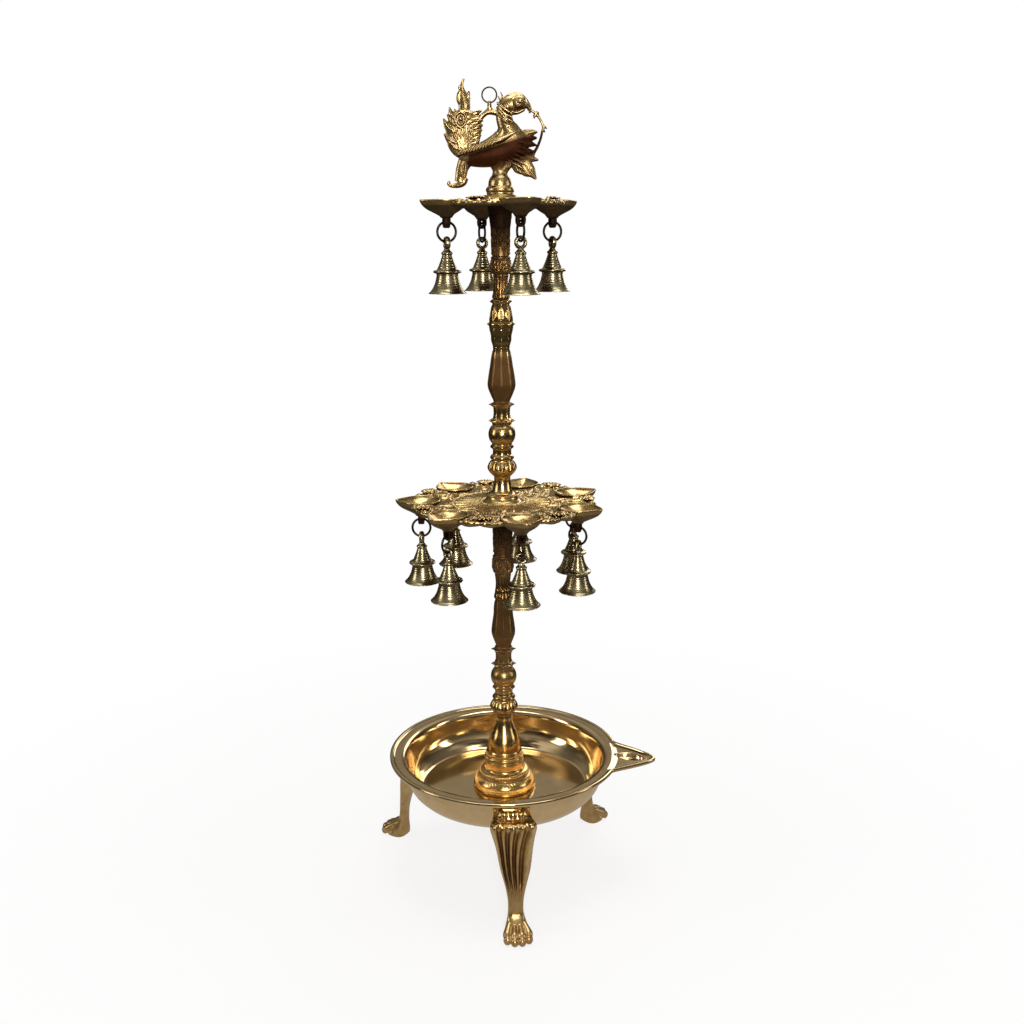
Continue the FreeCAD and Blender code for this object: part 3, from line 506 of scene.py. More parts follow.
# the rolled lip as (distance in from the edge, rise), above and below the flange
LIP_ROLL = ((5.2, 0.0), (4.6, 0.15), (4.1, 0.6), (3.7, 1.2), (3.2, 1.45), (2.0, 1.5),
            (0.9, 1.4), (0.3, 1.1), (0.0, 0.6))
LIP_UNDER = ((0.0, 0.9), (0.3, 0.45), (0.9, 0.1), (2.2, 0.0), (5.2, 0.0))


def make_basin(materials):
    """A spun bowl with a flat flange that is drawn out into one pouring spout."""
    rim = -low("basin")[1]
    under = low("basin")[2]
    floor = under + WALL
    wall_top = rim - FLANGE
    bend = wall_top + WALL + 4.6
    top = high("basin")[2] - LIP
    below = top - WALL

    coarse = np.linspace(SPOUT_HALF_ANGLE, TAU - SPOUT_HALF_ANGLE, 240, endpoint=False)
    close = np.linspace(-SPOUT_HALF_ANGLE, SPOUT_HALF_ANGLE, 110, endpoint=False)
    angle = np.concatenate([close, coarse])
    signed = np.where(angle > math.pi, angle - TAU, angle)
    share = np.clip(np.abs(signed) / SPOUT_HALF_ANGLE, 0, 1)
    share = (np.sqrt(share ** 2 + SPOUT_BLUNT ** 2) - SPOUT_BLUNT) / (
        math.sqrt(1 + SPOUT_BLUNT ** 2) - SPOUT_BLUNT)
    edge = rim + SPOUT_REACH * (1 - share) ** SPOUT_HOLLOW

    # (radius, height) of the bowl's inside, outwards, and of its outside, inwards
    inside = outline([
        [(0.8, floor), (60, floor), (86, floor)],
        [(90.6, floor + 0.8), (93.4, floor + 2.8), (97.6, floor + 6.2),
         (101.5, floor + 10.8), (104.2, floor + 17), (105.6, floor + 23),
         (106.6, floor + 30), (107.4, top - 4.2), (108.8, top - 1.8), (111.0, top - 0.5),
         (113.6, top)]], 1.3)
    outside = outline([
        [(bend, below), (113.0, below - 0.8), (111.2, below - 3.4), (110.0, floor + 30),
         (108.8, floor + 22), (107.0, floor + 15), (103.8, floor + 7.6),
         (98.6, floor + 1.6), (94.0, under + 0.8), (88, under)],
        [(60, under), (0.8, under)]], 1.3)

    # half the spout's width against its reach from the stem's axis
    half_line, reach_line = edge * np.sin(signed), edge * np.cos(signed)
    in_spout = (np.abs(signed) < SPOUT_HALF_ANGLE) & (half_line >= 0)
    order = np.argsort(reach_line[in_spout])
    sorted_reach = reach_line[in_spout][order]
    sorted_half = half_line[in_spout][order]

    def trough_depth(radius, column):
        """How far the spout's top is pressed in, with a leaf on each side of its middle."""
        turn = signed[column]
        along, lateral = radius * math.cos(turn), radius * math.sin(turn)
        room = np.interp(radius, sorted_reach, sorted_half) - np.abs(lateral)
        shallow = 1.3 * smoothstep(np.minimum(room, edge[column] - radius), 2.5, 6.0)
        shallow = shallow * smoothstep(radius, wall_top + 9, wall_top + 15)
        share = np.clip((along - (rim - 4.0)) / 31.0, 0, 1)
        half = 8.6 * np.sin(math.pi * share) ** 0.7 + 1e-3
        off = np.abs(lateral - (7.0 - 5.5 * share)) / half
        leaf = smoothstep(1.0 - off, 0.0, 0.34) * (share > 0) * (share < 1)
        return shallow + 4.4 * leaf

    def flange_line(start, end, height, column):
        radius = start + (end - start) * np.linspace(0, 1, 30)[1:-1]
        depth = np.array([trough_depth(r, column) for r in radius])
        return np.stack([radius, height - depth], axis=1)

    columns = []
    for column, reach in enumerate(edge):
        lip = np.array([(reach - inset, top + rise) for inset, rise in LIP_ROLL])
        roll = np.array([(reach - inset, below + rise) for inset, rise in LIP_UNDER])
        columns.append(np.vstack([
            inside, flange_line(wall_top + 4.6, reach - LIP_ROLL[0][0], top, column), lip,
            roll, flange_line(reach - LIP_UNDER[-1][0], bend, below, column), outside]))
    profile = np.array(columns)
    turn = angle + SPOUT_TURN
    grid = np.stack([profile[:, :, 0] * np.cos(turn)[:, None],
                     profile[:, :, 0] * np.sin(turn)[:, None],
                     profile[:, :, 1]], axis=2).transpose(1, 0, 2)
    shell = Shell()
    shell.add(*surface(grid), flip=True)
    piece = shell.piece("basin_shell", materials["mirror"])
    finish_piece(piece, "stand", "basin")


# ------------------------------------------------------------------ paw legs

# down the leg: height, radius of its middle, half depth, half width
LEG_STATIONS = (
    (116.0, 122.5, 5.6, 21.6), (113.6, 124.0, 6.2, 23.4), (108.0, 124.4, 6.0, 23.4),
    (97.0, 124.4, 5.8, 20.6), (87.5, 124.8, 5.4, 18.7), (75.0, 126.0, 4.8, 16.8),
    (65.0, 127.6, 4.5, 15.0), (56.0, 129.0, 4.2, 12.6), (45.5, 131.4, 3.9, 9.8),
    (36.0, 133.2, 3.7, 8.0), (28.0, 134.2, 3.7, 7.7), (22.0, 135.2, 4.2, 8.2),
    (16.5, 137.6, 6.4, 9.6), (11.0, 140.6, 9.6, 11.4), (5.0, 142.4, 11.6, 12.8),
    (0.3, 142.4, 11.4, 12.8),
)
LEG_TURNS = {"leg_front": -86.0, "leg_right": 42.0, "leg_left": 151.0}
REEDS = 5
SWAY = 1.8
# toes as (offset to the side, reach past the rim, half width)
TOES = ((-10.6, 29.6, 4.4), (-3.7, 33.2, 4.3), (3.7, 33.2, 4.3), (10.6, 29.6, 4.4))


def make_legs(materials):
    """Cast legs: a reeded knee that narrows to the ankle, and a paw with four toes."""
    rim = -low("basin")[1]
    bowl_under = low("basin")[2]
    line = smooth_line(np.array(LEG_STATIONS), 0.7)
    knee_top = LEG_STATIONS[0][0]
    sides = 140
    around = np.arange(sides) * TAU / sides
    out, side = np.cos(around), np.sin(around)

    rows = []
    for height, middle, depth, width in line:
        square = (np.abs(out) ** 2.8 + np.abs(side) ** 2.8) ** (-1 / 2.8)
        x = depth * out * square
        y = width * side * square
        curve = 0.30 * math.sin(math.pi * np.clip((height - 20) / (knee_top - 20), 0, 1))
        across = np.clip(y / width + curve * (1 - (y / width) ** 2), -0.999, 0.999)
        place_in_reed = np.mod((across + 1) / 2 * REEDS, 1.0) * 2 - 1
        bulge = 0.5 + 0.5 * np.cos(math.pi * place_in_reed)
        amount = 4.6 * smoothstep(height, 30, 62) * (1 - 0.4 * smoothstep(height, 111, 116))
        x = x + amount * smoothstep(out, -0.1, 0.3) * (bulge ** 0.8 - 0.8)
        sway = SWAY * np.interp(height, [0, 12, 24, 36, 56, 70, 88, 100, knee_top],
                                [1.0, 0.85, 0.55, 0.67, 0.98, 0.9, 0.63, 0.3, 0.0])
        rows.append(np.stack([middle + x, y + sway, np.full(sides, height)], axis=1))
    shell = Shell()
    shell.add(*surface(np.array(rows)[::-1]))

    def block(stations, power):
        """An upright cushion from (height, middle, half depth, half width) stations."""
        squared = (np.abs(out) ** power + np.abs(side) ** power) ** (-1 / power)
        shell.add(*surface(np.array([np.stack([
            middle + depth * out * squared, width * side * squared,
            np.full(sides, height)], axis=1) for height, middle, depth, width in stations])))

    # the knee's rolled top edge and the web that runs back to the bowl
    block([(knee_top - 9.0, 119.0, 8.4, 22.0), (knee_top - 5.0, 119.4, 9.4, 23.0),
           (knee_top - 2.0, 119.4, 9.2, 22.6), (knee_top - 0.4, 118.8, 8.0, 20.8),
           (knee_top + 0.3, 118.0, 5.8, 17.6)], 2.5)
    block([(84, 116, 5, 12), (94, 111, 12, 16), (104, 111, 14, 20),
           (knee_top - 1.5, 112, 12, 20)], 3.0)
    # the pad brazed to the bowl, with three lobes
    block([(knee_top - 2, 112, 6.5, 15.5), (knee_top + 3, 111.2, 5.6, 15.0),
           (knee_top + 6.4, 110.2, 4.6, 13.4), (knee_top + 8.0, 109.8, 3.2, 11.0)], 3.0)
    for offset, size in ((-8.4, 3.4), (0.2, 4.4), (8.4, 3.4)):
        shell.add(*ellipsoid((114.6, offset, knee_top + 3.0), (3.6, size, 5.0), 24, 16))

    # four toes, with tendons that run up from them to the ankle
    for offset, reach, size in TOES:
        path = smooth_line([(rim + 12, offset * 0.45 + SWAY * 0.6, 19.0),
                            (rim + 17, offset * 0.72 + SWAY * 0.85, 14.4),
                            (rim + reach - 5, offset + SWAY, 9.0),
                            (rim + reach - 1.0, offset + SWAY, 5.4)], 1.0)
        widths = np.interp(np.linspace(0, 1, len(path)), [0, 0.4, 0.8, 1],
                           [1.6, 3.0, size, size * 0.7])
        shell.add(*sweep(path, widths, widths, 18))
        shell.add(*ellipsoid((rim + reach, offset + SWAY, 5.2), (4.2, size * 0.95, 4.9),
                             24, 16))
        tendon = smooth_line([(rim + 15, offset * 0.6 + SWAY * 0.8, 16.4),
                              (rim + 12.4, offset * 0.36 + SWAY * 0.6, 23.0),
                              (rim + 10.2, offset * 0.26 + SWAY * 0.62, 33.0)], 1.0)
        shell.add(*sweep(tendon, 1.5, 1.2, 12))
    shell.add(*ellipsoid((rim + 21, SWAY, 4.2), (13.4, 13.6, 4.4), 40, 20))

    points = np.vstack(shell.points)
    points[:, 2] = np.maximum(points[:, 2], 0.2)
    template = new_piece("leg_template", points, shell.faces)
    remesh(template, 0.56)
    mesh = template.data
    bpy.data.objects.remove(template)
    coordinates = np.empty(len(mesh.vertices) * 3)
    mesh.vertices.foreach_get("co", coordinates)
    coordinates = coordinates.reshape(-1, 3)
    # the leg's inner face follows the bowl's bulging outside
    radius = np.hypot(coordinates[:, 0], coordinates[:, 1])
    bowl = np.interp(coordinates[:, 2] / MM,
                     [bowl_under - 0.2, bowl_under, bowl_under + 2.6, bowl_under + 10.2,
                      bowl_under + 24, bowl_under + 39.5],
                     [0, 92, 98.4, 104.6, 109.2, 112.0]) * MM
    grow = np.where(radius < bowl, bowl / np.maximum(radius, 1e-9), 1.0)
    coordinates[:, :2] *= grow[:, None]
    coordinates[:, 2] = np.maximum(coordinates[:, 2], 0.0001)
    mesh.vertices.foreach_set("co", coordinates.ravel())
    mesh.materials.clear()
    mesh.materials.append(materials["leg"])
    for name, turn in LEG_TURNS.items():
        placed = mesh.copy()
        placed.transform(Matrix.Rotation(math.radians(turn), 4, "Z"))
        finish_piece(show(name + "_casting", placed), "stand", name)


# ------------------------------------------------------------------ turned stem

STEM_STEP = 0.55          # along the outlines of the turned castings


def turned_piece(name, node, profile, columns, shape, material):
    """A lathe-turned casting that stands on the bottom of its CAD node."""
    grid = lathe_grid(profile, columns, shape)
    grid[:, :, 2] += low(node)[2]
    shell = Shell()
    shell.add(*surface(grid))
    finish_piece(shell.piece(name, material), "stand", node)


def bump_at(value, centre, width):
    """A smooth bump that is 1 at its centre."""
    return np.exp(-((value - centre) / width) ** 2)


def corner_gap(angle, sides):
    """Signed angle to the nearest corner of a regular polygon."""
    step = TAU / sides
    return np.mod(angle + step / 2, step) - step / 2


def make_pedestal(materials):
    height = 41.0

    def rope(radius, level, angle):
        edge = bump_at(level, 17.6, 1.6) * (radius > 24)
        beads = np.abs(np.sin(angle * 26 + (level - 17) * 0.7))
        top_edge = bump_at(level, 12.6, 1.3) * (radius > 27)
        return radius - edge * 1.2 * (1 - beads) - top_edge * 0.8 * (1 - beads)

    profile = outline([
        [(0.3, 0.0), (20, 0.0), (33.2, 0.0)],
        [(33.9, 1.6), (34.0, 3.4), (33.4, 5.4)],
        [(32.6, 8.2), (31.2, 10.6), (29.8, 12.6), (28.6, 13.8), (27.0, 14.4)],
        [(25.9, 15.0), (26.3, 16.2), (27.1, 17.4), (26.9, 18.8), (26.0, 19.9)],
        [(24.8, 20.6), (23.2, 21.0)],
        [(21.9, 21.8), (21.2, 23.4), (20.9, 26), (20.7, 30.0)],
        [(21.3, 30.4), (21.4, 31.2), (20.8, 31.7)],
        [(20.2, 32.2), (20.2, 33.2), (20.9, 33.8)],
        [(21.5, 34.6), (21.4, 36.0), (20.9, 36.8)],
        [(20.0, 37.2), (19.8, 38.4), (19.9, height)],
        [(10, height), (0.3, height)]], STEM_STEP)
    turned_piece("pedestal_turning", "base_pedestal", profile, 288, rope,
                 materials["stem"])


# the outline that both balusters share, as (radius, height above the foot)
BALUSTER = [
    [(8.5, 0.0), (9.2, 0.7), (10.8, 2.2), (13.4, 5.0), (14.6, 7.8), (14.7, 9.6),
     (14.2, 12.0), (12.9, 14.6), (11.7, 16.6)],
    [(11.0, 17.3), (11.0, 18.3)],
    [(12.0, 19.0), (12.2, 20.6), (11.6, 22.2), (10.2, 23.4)],
    [(10.0, 25.6), (10.1, 28.8)],
    [(11.6, 29.8), (12.2, 31.0), (12.0, 32.4), (10.9, 33.6)],
    [(10.7, 34.6), (12.2, 36.4)],
    [(13.8, 39.4), (14.6, 43.4), (14.3, 47.0), (12.9, 50.6), (10.7, 53.2)],
    [(9.7, 54.0), (9.7, 56.0)],
    [(11.2, 57.0), (11.5, 58.4), (10.6, 59.8), (8.8, 60.8)],
    [(8.2, 64.0), (8.1, 68.0), (8.5, 72.0)],
    [(10.2, 73.4), (11.2, 74.8), (10.2, 76.2), (8.7, 77.4)],
    [(8.9, 79.2), (10.2, 82.2)],
    [(12.2, 86.6), (14.0, 91.2), (14.6, 94.6), (14.5, 97.4), (13.9, 102.0),
     (13.0, 107.6), (11.7, 114.4), (10.2, 121.0), (8.7, 127.0), (8.1, 130.6),
     (8.1, 131.4)],
    [(4, 131.4), (0.3, 131.4)],
]
# each tier's foot, and how slim the long facets are
BALUSTER_FEET = {
    "lower": ([[(0.3, 0.0), (10, 0.0), (19.0, 0.0)],
               [(19.3, 0.8), (19.0, 1.6)],
               [(18.2, 2.6), (18.0, 5.4), (17.5, 9.5), (16.4, 14.0), (14.9, 18.6),
                (12.9, 23.4), (11.2, 28.0), (10.0, 32.4), (9.3, 36.6), (9.0, 40.0),
                (8.6, 42.6)]], 0.80),
    "upper": ([[(0.3, 0.0), (10, 0.0), (16.6, 0.0)],
               [(17.2, 0.5), (16.9, 1.1), (15.2, 1.5)],
               [(12.8, 2.3), (11.0, 4.2), (9.8, 7.2), (9.0, 11.0), (8.5, 15.4),
                (8.5, 19.6)]], 0.90),
}


def baluster_shape(foot_height, slim_drop):
    """Lotus petals on the collar, eight facets above the ball, pointed rings."""
    def shape(radius, level, angle):
        z = level - foot_height
        drop = smoothstep(z, 76.0, 82.0)
        neck = smoothstep(z, 53.0, 55.0) * (1 - smoothstep(z, 76.0, 77.4))
        slim = 1 - (1 - slim_drop) * drop * (1 - smoothstep(z, 112.0, 130.0))
        slim = slim - 0.05 * smoothstep(z, 20.0, 24.0) * (1 - drop)
        faceted = radius * slim * (1 + (drop + neck) * (polygon_share(angle, 8) / 0.955 - 1))
        # narrow fillets stand on the corners of the long facets
        off_corner = np.abs(corner_gap(angle, 8))
        fillet = bump_at(off_corner, 0, 0.055)
        faceted = faceted + 0.5 * fillet * (drop + 0.8 * neck) * (z < 129)
        # pointed corners on the two thin rings of the neck
        for ring_level in (58.2, 74.8):
            faceted = faceted + 1.9 * bump_at(z, ring_level, 0.9) * bump_at(off_corner, 0, 0.16)
        petals = 10
        petal_zone = smoothstep(z, 5.5, 9.5) * (1 - smoothstep(z, 16.0, 17.0))
        wave = np.abs(np.cos(angle * petals / 2)) ** 0.6
        slot = 2.1 * petal_zone * (1 - wave)
        tongue = 0.5 * petal_zone * np.cos(angle * petals / 2) ** 6
        low_wave = smoothstep(z, 1.0, 4.0) * (1 - smoothstep(z, 6.0, 9.0))
        scallop = 0.35 * low_wave * (1 - wave)
        rings = bump_at(z, 31.0, 1.6) + 0.3 * bump_at(z, 20.4, 1.8)
        wavy = 0.6 * rings * np.cos(angle * 8)
        return faceted - slot + tongue - scallop + wavy
    return shape


def make_baluster(tier, material):
    foot, slim_drop = BALUSTER_FEET[tier]
    foot_height = foot[-1][-1][1]
    above = [[(radius, foot_height + rise) for radius, rise in stroke] for stroke in BALUSTER]
    profile = np.vstack([outline(foot, STEM_STEP), outline(above, STEM_STEP)[1:]])
    turned_piece(tier + "_baluster_casting", tier + "_baluster", profile, 160,
                 baluster_shape(foot_height, slim_drop), material)


def make_vase(material):
    """An eight-sided vase with a pointed ridge round its middle."""
    def shape(radius, level, angle):
        zone = smoothstep(level, 0.5, 4.0) * (1 - smoothstep(level, 43.0, 46.0))
        slim = 1 - 0.14 * smoothstep(level, 6.0, 14.0)
        faceted = radius * slim * (1 + 0.75 * zone * (polygon_share(angle, 8) / 0.955 - 1))
        gap = corner_gap(angle, 8)
        spike = bump_at(np.abs(gap), 0, 0.13) * (
            1.6 * bump_at(level, 24.6, 1.2) + 1.6 * bump_at(level, 46.8, 1.0))
        carved = faceted + spike
        for rise, swing in ((20.6, 2.6), (18.0, 3.4)):
            swag_level = rise + swing * np.abs(np.sin(angle * 4))
            carved = carved + 0.4 * bump_at(level, swag_level, 0.55) * zone
        # leaf scrolls on the upper facets
        across = gap / (TAU / 8 / 2)
        upper = smoothstep(level, 26.5, 28.5) * (1 - smoothstep(level, 41.5, 43.5))
        curl = 0.62 * np.sin(np.clip((level - 27) / 15, 0, 1) * math.pi)
        leaf = bump_at(np.abs(across), curl, 0.12)
        return carved + 0.45 * upper * np.maximum(bump_at(across, 0, 0.10), leaf)

    profile = outline([
        [(0.3, 0.0), (4, 0.0), (8.2, 0.0)],
        [(8.5, 1.0), (8.4, 2.6), (9.0, 5.0), (10.6, 9.6), (12.2, 15.0), (13.2, 19.6)],
        [(13.5, 21.6), (14.1, 23.6), (14.3, 24.6), (13.8, 25.6), (13.2, 26.8)],
        [(12.8, 30.0), (12.0, 34.0), (11.1, 38.4), (10.2, 42.6), (9.8, 44.4)],
        [(10.8, 45.4), (11.3, 46.8), (10.9, 48.2), (10.2, 49.0)],
        [(5, 49.0), (0.3, 49.0)]], STEM_STEP)
    turned_piece("upper_vase_casting", "upper_vase", profile, 168, shape, material)


def column_relief(x, y, width, height):
    """Leaf, bud and scroll motif of one panel; x runs across it, y up from its foot."""
    half = width / 2
    rise = height / 10.0
    strokes = [([(0, 9.3 * rise), (0, 5.4 * rise)], 0.5, 1.3),
               ([(0, 4.7 * rise), (0, 3.9 * rise)], [1.7, 1.2], 1.9)]
    # a long hanging leaf, a scroll, a stem and a side leaf on each hand
    for hand in (-1, 1):
        out = hand * half
        border = [(0, 9.3 * rise), (out * 0.42, 8.4 * rise), (out * 0.5, 7.0 * rise),
                  (out * 0.34, 5.9 * rise), (hand * 0.3, 5.3 * rise)]
        stem = [(out * 0.2, 3.6 * rise), (out * 0.6, 2.9 * rise), (out * 0.85, 1.9 * rise)]
        leaf = [(out * 0.95, 9.4 * rise), (out * 0.8, 8.0 * rise), (out * 0.93, 6.4 * rise)]
        scroll = spiral((out * 0.52, 4.5 * rise), half * 0.36, 1.25, math.pi / 2, hand=-hand)
        strokes += [(smooth_line(border, 1.0), 0.9, 1.5), (scroll, 0.85, 1.5),
                    (smooth_line(stem, 1.0), 0.9, 1.4), (smooth_line(leaf, 1.0), 1.0, 1.2)]
        for step in range(4):
            strokes.append(([(0, (8.7 - 0.75 * step) * rise),
                             (out * 0.33, (8.2 - 0.75 * step) * rise)], 0.42, 0.9))
    # buds down the middle
    for level, size in ((3.1, 1.5), (2.2, 1.8), (1.3, 1.4)):
        strokes.append(([(0, level * rise), (0, (level - 0.4) * rise)],
                        [size, size * 0.6], 1.5))
    return relief(x, y, strokes)


COLUMN_PANELS = 4
COLUMN_PHASE = 0.3
COLUMN_WIDEST = 14.2


def make_column(tier, material, height, slim):
    """The relief-cast column: leaf panels over a ring, a fluted neck and a lobed foot."""
    neck, ring = height * 0.30, height * 0.50
    step = TAU / COLUMN_PANELS

    def shape(radius, level, angle):
        across = corner_gap(angle + COLUMN_PHASE, COLUMN_PANELS) * 12.0
        panel = smoothstep(level, ring, ring + 1.5) * (
            1 - smoothstep(level, height - 6, height - 3.5))
        leaves = column_relief(across, level - ring, step * 12.0, height - ring - 4)
        flutes = smoothstep(level, height * 0.11, height * 0.14) * (
            1 - smoothstep(level, neck - 1.5, neck))
        flute = 0.9 * flutes * (np.abs(np.cos(angle * 6)) - 0.55)
        foot = (1 - smoothstep(level, height * 0.10, height * 0.13)) * smoothstep(
            level, 0.6, 2.0)
        lobes = 0.9 * foot * (np.abs(np.cos(angle * 4 + 0.4)) - 0.5)
        body = smoothstep(level, neck, neck + 2) * (1 - smoothstep(level, ring - 3, ring))
        low_leaves = column_relief(across, level - neck, step * 12.0, ring - neck)
        radius = np.minimum(radius, COLUMN_WIDEST) * slim
        return (radius * (1 + body * 0.7 * (polygon_share(angle, 8) / 0.955 - 1))
                + leaves * panel - 0.5 * panel + flute + lobes + 0.5 * low_leaves * body)

    h = height
    profile = outline([
        [(0.3, 0.0), (5, 0.0), (9.6, 0.0)],
        [(10.6, 1.2), (10.4, h * 0.04), (9.4, h * 0.075), (9.2, h * 0.11)],
        [(8.6, h * 0.14), (8.3, h * 0.19), (8.8, h * 0.25), (9.6, neck)],
        [(11.2, neck + 1.4), (12.0, neck + 3.6), (12.1, h * 0.42), (11.9, ring - 3.0)],
        [(11.2, ring - 2.4), (11.2, ring - 1.6)],
        [(12.2, ring - 1.0), (12.2, ring + 0.4), (11.3, ring + 1.4)],
        [(11.0, h * 0.60), (10.9, h * 0.75), (11.2, h * 0.90)],
        [(12.2, h - 5.5), (14.0, h - 2.6), (15.6, h)],
        [(8, h), (0.3, h)]], 0.5)
    turned_piece(tier + "_column_casting", tier + "_leaf_column", profile, 224, shape,
                 material)


# ------------------------------------------------------------------ trays

CUP_RADIUS = 20.5
CUP_TIP = 29.5
CUP_DEPTH = 8.0
CUP_POINT = math.acos(CUP_RADIUS / CUP_TIP)
CUP_COLUMNS = 72
# inside of a cup as (share of the way to its edge, share of its depth)
CUP_INSIDE = ((0.02, -1.0), (0.2, -0.985), (0.38, -0.94), (0.55, -0.80), (0.70, -0.58),
              (0.82, -0.34), (0.91, -0.14))
# its rim as (distance in from the edge, rise), then its outside as (share, drop)
CUP_RIM = ((1.6, -0.15), (1.25, 0.25), (0.8, 0.42), (0.35, 0.25), (0.0, -0.25),
           (0.05, -0.9), (0.6, -1.7))
CUP_OUTSIDE = ((0.96, -3.2), (0.90, -5.2), (0.81, -7.4), (0.69, -9.4), (0.54, -11.3),
               (0.39, -13.2))
CUP_NECK = ((6.3, -15.2), (5.6, -16.6))
HOLE_DROP = 20.3
HOLE_RADIUS = 2.25
LUG_WALL = 3.7
LUG_THICKNESS = 6.4
LUG_HALF_WIDTH = 4.6
LUG_RISE = 7.6
HUB_RADIUS = 17.0
# each tier: columns of mesh per cup, rows across its top, and how far its edge,
# the feet of its fans and its curls lie outside the circle of the cups
TIERS = {"lower": {"columns": 120, "rows": 118, "edge": 9.5, "fan": -1.0, "curl": 8.0},
         "upper": {"columns": 150, "rows": 84, "edge": 6.0, "fan": -5.0, "curl": 4.0}}


def cup_section(radius, local, hang):
    """Share of the way from a cup's middle to its pointed outline: 1 on the outline."""
    out, side = radius * np.cos(local) - hang, radius * np.sin(local)
    direction = np.abs(np.arctan2(side, out))
    pointed = CUP_RADIUS / np.maximum(np.cos(np.minimum(direction, CUP_POINT) - CUP_POINT),
                                      1e-6)
    return np.hypot(out, side) / np.where(direction < CUP_POINT, pointed, CUP_RADIUS)


def cup_edge(angle):
    """Reach of the cup's outline by direction, with its point slightly blunted."""
    soft = np.sqrt(angle ** 2 + 0.012)
    pointed = CUP_RADIUS / np.cos(np.minimum(soft, CUP_POINT) - CUP_POINT)
    return np.where(np.abs(angle) < CUP_POINT, np.minimum(pointed, CUP_TIP * 0.995),
                    CUP_RADIUS)


def add_cup(shell, hang, turn, rim):
    """One wick cup: a pointed bowl with a rounded rim, a funnel and a pierced lug."""
    angle = np.linspace(-math.pi, math.pi, CUP_COLUMNS, endpoint=False)
    edge = cup_edge(angle)
    reaches = [(edge * share, CUP_DEPTH * drop) for share, drop in CUP_INSIDE]
    reaches += [(edge - inset, rise) for inset, rise in CUP_RIM]
    reaches += [(edge * share, drop) for share, drop in CUP_OUTSIDE]
    reaches += [(np.full(CUP_COLUMNS, reach), drop) for reach, drop in CUP_NECK]
    rows = [np.stack([np.maximum(reach, 0.2) * np.cos(angle),
                      np.maximum(reach, 0.2) * np.sin(angle),
                      np.full(CUP_COLUMNS, rim + height)], axis=1)
            for reach, height in reaches]
    place(shell, surface(np.array(rows)), hang, turn, flip=True)
    add_tongue(shell, hang, turn, rim - HOLE_DROP)


def add_tongue(shell, hang, turn, hole_height):
    """A flat tongue with rounded edges, pierced by a hole that runs outwards."""
    columns = 48
    angle = np.arange(columns) * TAU / columns
    up = np.sin(angle)
    # outline of the tongue round the hole: wide above, rounded below
    outer_up = np.where(up > 0, up * LUG_RISE, up * (HOLE_RADIUS + LUG_WALL))
    outer_side = LUG_HALF_WIDTH * np.cos(angle) * np.where(up > 0, 1.0 + 0.16 * up, 1.0)
    half = LUG_THICKNESS / 2
    rows = []
    for inset, depth in ((0.0, -half + 1.0), (0.28, -half + 0.35), (0.9, -half), (None, -half),
                         (None, half), (0.9, half), (0.28, half - 0.35), (0.0, half - 1.0)):
        if inset is None:
            side, rise = HOLE_RADIUS * np.cos(angle), HOLE_RADIUS * np.sin(angle)
        else:
            shrink = 1 - inset / 5.5
            side, rise = outer_side * shrink, outer_up * shrink
        rows.append(np.stack([np.full(columns, depth), side, hole_height + rise], axis=1))
    place(shell, surface(np.array(rows), closed_rows=True), hang, turn)


def place(shell, drawn, reach, turn, flip=False):
    """Move a surface out along +X by reach, turn it about Z and add it to the shell."""
    points, faces = drawn
    x = points[:, 0] + reach
    c, s = math.cos(turn), math.sin(turn)
    shell.add(np.stack([x * c - points[:, 1] * s, x * s + points[:, 1] * c, points[:, 2]],
                       axis=1), faces, flip)


def tray_relief(radius, local, hang, count):
    """Scrolls and leaves cast on the tray's top, by radius and angle from a cup's axis.

    The pattern repeats from cup to cup; local is the signed angle from the nearest cup.
    """
    x = radius * np.cos(local)
    y = np.abs(radius * np.sin(local))
    half_step = math.pi / count

    def polar(reach, share):
        angle = share * half_step
        return (reach * math.cos(angle), reach * math.sin(angle))

    inner = hang - CUP_RADIUS
    strokes = []
    # a rope-like ring of beads round the hub and a second one outside the leaves
    for reach, beads, size in ((HUB_RADIUS + 5.5, 5, 1.2), (inner * 0.80, 8, 1.3)):
        for bead in range(beads):
            centre = polar(reach, (bead + 0.5) / beads)
            strokes.append(([centre, (centre[0] + 0.1, centre[1])], size, 1.0))
    # leaves that point outwards between the rings
    leaf_foot, leaf_tip = HUB_RADIUS + 8.5, inner * 0.76
    for share in (0.0, 0.5, 1.0):
        foot, tip = polar(leaf_foot, share), polar(leaf_tip, share)
        strokes.append(([foot, tip], [1.4, 0.5], 1.1))
        for lean in (-0.2, 0.2):
            middle = polar((leaf_foot + leaf_tip) / 2, share + lean)
            strokes.append((smooth_line([foot, middle, tip], 1.5), 0.75, 0.8))
    # scrolls and side leaves between the cups
    for reach, share, size, start, hand in (
            (0.80, 0.80, 5.4, 0.5, 1), (0.98, 0.72, 4.6, 2.4, -1),
            (0.66, 0.52, 4.2, -0.6, 1), (1.06, 0.90, 3.4, 3.6, 1)):
        strokes.append((spiral(polar(hang * reach, share), size, 1.4, start, hand=hand),
                        0.8, 1.2))
    for reach, share, far, far_share in (
            (0.72, 0.95, 0.95, 0.98), (0.64, 0.72, 0.78, 0.62),
            (0.70, 0.35, 0.60, 0.12), (0.88, 0.60, 1.02, 0.62)):
        strokes.append(([polar(hang * reach, share), polar(hang * far, far_share)],
                        [0.6, 1.3], 1.2))
    return relief(x, y, strokes)


